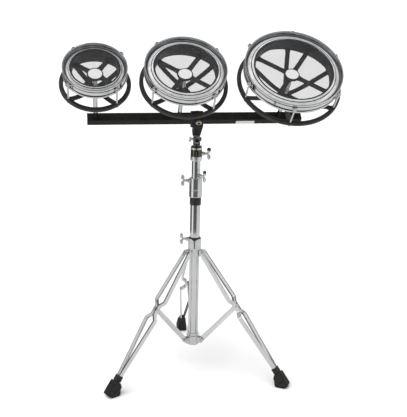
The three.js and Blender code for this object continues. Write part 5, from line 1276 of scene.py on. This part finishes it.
# %% [markdown]
# The upper wheel is flat. Its rim is a tall ring whose rounded top edge carries the film, and four
# arms meet in a disc with a boss below. The blank oval patch lies on the disc. It is two thin
# pressed ovals, a grey one that shows as an outline and a white one on top, which glows a little:
# painted light that keeps it white under the film.

# %% The upper wheel
RIM_TOP, RIM_BOTTOM, RIM_WALL = 202.3, 172.3, 4.5
UPPER_ARMS, UPPER_ARM_WIDTH, UPPER_ARM_START, UPPER_ARM_ROOT = 4, 13, 55, 10
UPPER_FLARE, UPPER_FLARE_LENGTH = 4, 14
UPPER_ROOT_START, UPPER_ROOT_LENGTH, UPPER_ROOT_FLARE, UPPER_STATIONS = 18, 14, 3.5, 22
DISC_RADIUS, UPPER_BOSS_RADIUS = 22, 11
LABEL_WIDTH, LABEL_DEPTH, LABEL_OUTLINE, OVAL_STEPS = 37, 35, 1.4, 64


def upper_wheel(shape, drum):
    outer, bore = drum["edge"], POST_PIN + 0.4
    turned(shape, rounded([
        (outer - RIM_WALL, RIM_BOTTOM), (outer, RIM_BOTTOM), (outer, RIM_TOP - 1.5), (outer - 1.6, RIM_TOP),
        (outer - 3, RIM_TOP - 0.4, 0.8), (outer - RIM_WALL, RIM_TOP - 4)], 1), steps=DRUM_STEPS)
    turned(shape, rounded([
        (bore, UPPER_BOSS_BOTTOM), (UPPER_BOSS_RADIUS, UPPER_BOSS_BOTTOM, 1.5),
        (UPPER_BOSS_RADIUS + 1, RIM_BOTTOM, 2.5), (DISC_RADIUS, RIM_BOTTOM + 0.4, 1.4),
        (DISC_RADIUS, UPPER_ARM_TOP - 0.2, 1.6), (bore, UPPER_ARM_TOP, 0.8)], 0.6), steps=FINE_STEPS)
    for k in range(UPPER_ARMS):
        rings = []
        for i in range(UPPER_STATIONS + 1):
            x = UPPER_ARM_ROOT + (outer - 2 - UPPER_ARM_ROOT) * i / UPPER_STATIONS
            wider = swell(x, outer - 3, UPPER_FLARE_LENGTH, UPPER_FLARE)
            wider += root_swell(x, UPPER_ROOT_START, UPPER_ROOT_LENGTH, UPPER_ROOT_FLARE)
            rings.append(arm_ring(x, UPPER_ARM_WIDTH / 2 + wider, RIM_BOTTOM + 0.3, UPPER_ARM_TOP - 0.4))
        skinned(shape, rings, turn_z(UPPER_ARM_START + 90 * k))
    under = oval(LABEL_WIDTH + LABEL_OUTLINE, LABEL_DEPTH + LABEL_OUTLINE, OVAL_STEPS)
    in_finish(shape, 2, pressed, under, UPPER_ARM_TOP - 0.2, UPPER_ARM_TOP + 0.5, 0.2)
    label = oval(LABEL_WIDTH, LABEL_DEPTH, OVAL_STEPS)
    in_finish(shape, 1, pressed, label, UPPER_ARM_TOP, UPPER_ARM_TOP + 0.8, 0.1)


for name, drum in DRUMS.items():
    place = drum_places[name]
    finished(f"{name}_lower_wheel", shaped(lower_wheel, drum), place, WHEEL, f"{name}_tuner")
    finished(f"{name}_upper_wheel", shaped(upper_wheel, drum), place, HUB_LOOK, f"{name}_drum")
print("arms per lower wheel:", [drum["arms"] for drum in DRUMS.values()])

# %% [markdown]
# The film is crimped into an aluminium ring, the flesh hoop, and falls to it from the bearing edge
# in a short collar. It is one thin turned skin. Its collar with painted glare, a ring of painted dark
# reflection across the collar and the line along the bearing edge get finishes of their own, picked
# by how far each face is from the middle.

# %% Heads
HEAD_Z, FILM, SEAT_WIDTH = 203.4, 0.35, 6
COLLAR_Z, COLLAR_GAP, EDGE_LINE, COLLAR_LINE_SHARES = 195, 0.8, 1.6, (0.36, 0.5)


def with_rings(points, radii):
    """The same outline, with a point wherever it crosses one of the radii."""
    ringed = points[:1]
    for a, b in zip(points, points[1:]):
        crossed = [r for r in radii if min(a.x, b.x) < r < max(a.x, b.x)]
        ringed += [a.lerp(b, (r - a.x) / (b.x - a.x)) for r in sorted(crossed, reverse=a.x > b.x)]
        ringed.append(b)
    return ringed


def head(shape, drum):
    outer, edge = drum["inner"] - SEAT_WIDTH - COLLAR_GAP, drum["edge"]
    top = [(outer, COLLAR_Z), (outer - 2, COLLAR_Z + 1.2, 3), (edge + EDGE_LINE, HEAD_Z - 1.1, 0.3),
           (edge + 0.3, HEAD_Z - 0.4, 0.5), (edge - EDGE_LINE, HEAD_Z - 0.05, 0.2), (edge - 6, HEAD_Z, 1),
           (0, HEAD_Z)]
    near, far = [edge + share * (outer - edge) for share in COLLAR_LINE_SHARES]
    upper = with_rings(rounded(top, 2, closed=False), (near, far))
    lower = [Vector((p.x, p.y - FILM)) for p in reversed(upper)]
    turned(shape, lower + upper, steps=DRUM_STEPS)

    # Pale collar: painted glare. The ring between near and far: painted dark reflection, in the dark finish
    # of the bearing edge line.
    def finish(p):
        out = p.xy.length
        dark = out < edge + EDGE_LINE or near < out < far
        return 0 if out <= edge - EDGE_LINE else 2 if dark else 1

    finish_where(shape, finish)


print("film", FILM, "mm thick")


# %% [markdown]
# The hoop over the film is rolled steel: a flange bears on the flesh hoop, the wall stands up and
# its lip turns out. Welded ears take the long rods. A rod is a bolt with a domed hexagon head on a
# washer, and its thread ends in a nut under the lower wheel. Dark reflections are painted on the
# hoop: the inside below the lip is dark except for one gleaming band, and two dark lines run round
# the outer wall. These painted bands need edges of their own, so the turned wall is first cut at
# their heights.

# %% Hoops and tension rods
FLESH_TOP, FLESH_BOTTOM, FLESH_GAP, FLESH_WIDTH, SEAT_Z, SEAT_THICKNESS = 193.9, 185.9, 1.1, 8.3, 194.2, 2.2
LIP_TOP, HOOP_BOTTOM, HOOP_WALL = 207.4, 177.4, 0.9
HOOP_LINES, INNER_GLEAM, LIP_EDGE = ((183.4, 186.6), (196.8, 200)), (198.8, 201.8), 1.5
EAR_HALF, EAR_REACH, EAR_TOP, EAR_BOTTOM = 6, 5.5, 197.4, 194.4
ROD_RADIUS, ROD_HEAD, ROD_NUT_DROP, ROD_THREAD_TOP, ROD_THREAD_DEPTH = 2.5, 4.4, 5, 169, 0.35


def hoop(shape, drum):
    inner, lip, rod = drum["inner"], drum["hoop"], drum["rod"]
    wall, ledge = inner + HOOP_WALL, inner - SEAT_WIDTH
    turned(shape, rounded([
        (inner, HOOP_BOTTOM, 0.6), (lip, HOOP_BOTTOM, 2.4), (lip, HOOP_BOTTOM + 5, 2.4),
        (wall, HOOP_BOTTOM + 7, 1.5), (wall, LIP_TOP - 7.5, 1.5), (lip, LIP_TOP - 5.5, 2.6),
        (lip, LIP_TOP, 2.6), (inner, LIP_TOP, 1.6), (inner, SEAT_Z + SEAT_THICKNESS, 1),
        (ledge, SEAT_Z + 1.2, 0.4), (ledge, SEAT_Z, 0.4), (inner, SEAT_Z, 0.6)], 0.5), steps=DRUM_STEPS)
    for z in (*HOOP_LINES[0], *HOOP_LINES[1], *INNER_GLEAM):
        cut_at(shape, z)

    # Painted dark reflections: the inside below the lip except the gleaming band, and the two lines on the
    # outer wall.
    def finish(p):
        if p.xy.length < inner + 0.2:
            return p.z < LIP_TOP - LIP_EDGE and not INNER_GLEAM[0] < p.z < INNER_GLEAM[1]
        return 2 if any(low < p.z < high for low, high in HOOP_LINES) else 0

    finish_where(shape, finish)
    start, end = inner + HOOP_WALL / 2, rod + EAR_REACH
    right = [(start, -EAR_HALF - 2, 0), (start + 2, -EAR_HALF - 1, 2), (end, -EAR_HALF + 0.6, 4.5)]
    lug = rounded(right + [(x, -y, r) for x, y, r in reversed(right)], 1)
    for degrees in drum["angles"]:
        pressed(shape, lug, EAR_BOTTOM, EAR_TOP, 0.7, turn_z(degrees))
        tension_rod(shape, turn_z(degrees) @ move(rod, 0, 0))


def tension_rod(shape, at):
    """A long bolt: a domed hexagon head on a washer, and a thread with a nut under the wheel."""
    nut_top = RING_BOTTOM - FIT
    bottom, crown = nut_top - ROD_NUT_DROP, EAR_TOP + 5
    turned(shape, bar(5, EAR_TOP - 0.2, EAR_TOP + 1, 0.3), at, 32)
    pressed(shape, hexagon(ROD_HEAD), EAR_TOP + 0.8, EAR_TOP + 4.2, 0.7, at)
    dome = [(0, EAR_TOP + 3.8), (3.4, EAR_TOP + 3.8), (3.2, EAR_TOP + 4.6), (2.2, crown), (0, crown)]
    turned(shape, dome, at, 32)
    turned(shape, bar(ROD_RADIUS, ROD_THREAD_TOP - 1, EAR_TOP + 1, 0.3), at, ROUND_BAR_STEPS)
    turned(shape, threaded(ROD_RADIUS, bottom, ROD_THREAD_TOP, depth=ROD_THREAD_DEPTH), at, ROUND_BAR_STEPS)
    pressed(shape, hexagon(ROD_HEAD), bottom + 0.4, nut_top, 0.6, at)


for name, drum in DRUMS.items():
    place, flesh = drum_places[name], drum["inner"] - FLESH_GAP
    finished(f"{name}_head", shaped(head, drum), place, FILM_LOOK, f"{name}_drum")
    ring = tube(flesh - FLESH_WIDTH, flesh, FLESH_BOTTOM, FLESH_TOP, 1.2)
    finished(f"{name}_flesh_hoop", shaped(turned, ring, steps=DRUM_STEPS), place, ALUMINIUM, f"{name}_drum")
    finished(f"{name}_hoop", shaped(hoop, drum), place, HOOP, f"{name}_tuner")
print("pieces:", len(made_pieces))

# %% [markdown]
# ## Studio
# The photograph has a white ground and soft light from all round. The floor is a wide sheet of pale
# paper that takes the shadows. A second, darker disc lies near the stand. The camera doesn't see it,
# only the metal does, because a floor as bright as the paper would drown every tube in white.

# %% Floor
FLOOR_SIZE, FLOOR_DROP, PAPER = 30, 0.0005, 0.88
NEAR_RADIUS, NEAR_DROP, NEAR_PAPER = 1.6, 0.0004, 0.5
scene = bpy.context.scene
scene.view_settings.view_transform = "Standard"


def paper(name, brightness):
    return surface(name, brightness, brightness * 0.985, brightness, (0.7, 0.8), 0, cloud=3,
                   grain=(200, 200, 200), grain_depth=0.02)


shape = bmesh.new()
bmesh.ops.create_grid(shape, x_segments=8, y_segments=8, size=FLOOR_SIZE)
floor = as_object(shape, "floor")
floor.location.z = -FLOOR_DROP
floor.data.materials.append(paper("studio_paper", PAPER))
floor.visible_glossy = False

shape = bmesh.new()
bmesh.ops.create_circle(shape, cap_ends=True, segments=FINE_STEPS, radius=NEAR_RADIUS)
near = as_object(shape, "near_floor")
near.location = (column_foot.x, column_foot.y, -NEAR_DROP)
near.data.materials.append(paper("mirrored_paper", NEAR_PAPER))
near.visible_camera = near.visible_diffuse = near.visible_shadow = near.visible_transmission = False
print("floor", 2 * FLOOR_SIZE, "m wide")

# %% [markdown]
# What the chrome mirrors matters more than what lights it. The world is painted with the few patches
# that metal sees: a dim ceiling, which keeps the clear films clear, bright panels to the left and
# right, and dark stretches between them, which draw the dark lines down every tube. The camera
# itself sees plain white instead.

# %% The room that the metal mirrors
WALL, WINDOW, PANEL, DUSK, DIM, DARK = 0.5, 0.95, 0.66, 0.3, 0.14, 0.11
BACKDROP = 1.2
PATCH_SOFTNESS, TALL_SOFT_SHARE = math.radians(5), 0.6
world = bpy.data.worlds.new("studio")
scene.world = world
world.use_nodes = True
sky = world.node_tree


def sky_node(kind, inputs, **settings):
    return add_node(sky, f"ShaderNode{kind}", inputs, **settings)


def sky_math(operation, first, second):
    return sky_node("Math", {0: first, 1: second}, operation=operation).outputs[0]


towards = sky_node("TexCoord", {}).outputs["Generated"]
height = sky_node("SeparateXYZ", {"Vector": towards}).outputs[2]


def between(value, low, high, soft):
    """One inside a range and nought outside it, with soft ends."""
    rise = sky_node("MapRange", {"Value": value, "From Min": low - soft, "From Max": low + soft},
                    interpolation_type="SMOOTHSTEP")
    fall = sky_node("MapRange", {"Value": value, "From Min": high - soft, "From Max": high + soft,
                                 "To Min": 1, "To Max": 0}, interpolation_type="SMOOTHSTEP")
    return sky_math("MULTIPLY", rise.outputs[0], fall.outputs[0])


def patch(room, brightness, middle, half, low, high):
    """Paint a patch on the room. Angles are in degrees: middle and half turn from the camera's side,
    low and high rise from the horizon."""
    turn = sky_node("VectorRotate", {"Vector": towards, "Angle": math.radians(-middle)},
                    rotation_type="Z_AXIS")
    flat = sky_node("SeparateXYZ", {"Vector": turn.outputs[0]})
    angle = sky_math("ARCTAN2", flat.outputs[0], sky_math("MULTIPLY", flat.outputs[1], -1.0))
    wide = between(angle, -math.radians(half), math.radians(half), PATCH_SOFTNESS)
    bottom, top = math.sin(math.radians(low)), math.sin(math.radians(high))
    tall = between(height, bottom, top, PATCH_SOFTNESS * TALL_SOFT_SHARE)
    mask = sky_math("MULTIPLY", wide, tall)
    return sky_node("Mix", {0: mask, 6: room, 7: tint(brightness)}, data_type="RGBA").outputs[2]


room = tint(WALL)
for patch_of_light in ((DIM, 0, 185, 55, 95), (DUSK, -150, 28, -40, 40), (DARK, -109, 28, -40, 14),
                       (WINDOW, -61, 14, -40, 48), (PANEL, 110, 68, -40, 35), (DARK, 0, 37, -80, 10)):
    room = patch(room, *patch_of_light)
seen = sky_node("LightPath", {}).outputs["Is Camera Ray"]
backdrop = sky_node("Mix", {0: seen, 6: room, 7: tint(BACKDROP)}, data_type="RGBA")
sky.links.new(backdrop.outputs[2], sky.nodes["Background"].inputs["Color"])
print("nodes in the sky:", len(sky.nodes))

# %% [markdown]
# The light that makes the shadows comes from one very soft lamp, high on the left and on the
# camera's side. A sun with a wide angle gives the same soft light everywhere. It is hidden from the
# metal, so it leaves no bright spot there.

# %% The soft lamp
LAMP_TURN, LAMP_HEIGHT, LAMP_SOFTNESS, LAMP_ENERGY = -30, 62, 70, 3.6
lamp_data = bpy.data.lights.new("soft_lamp", "SUN")
lamp_data.energy, lamp_data.angle = LAMP_ENERGY, math.radians(LAMP_SOFTNESS)
lamp = bpy.data.objects.new("soft_lamp", lamp_data)
turn, rise = math.radians(LAMP_TURN), math.radians(LAMP_HEIGHT)
from_lamp = Vector((math.sin(turn) * math.cos(rise), -math.cos(turn) * math.cos(rise), math.sin(rise)))
lamp.rotation_euler = (-from_lamp).to_track_quat("-Z", "Y").to_euler()
lamp.visible_glossy = False
scene.collection.objects.link(lamp)
print("lamp", LAMP_HEIGHT, "degrees above the floor")
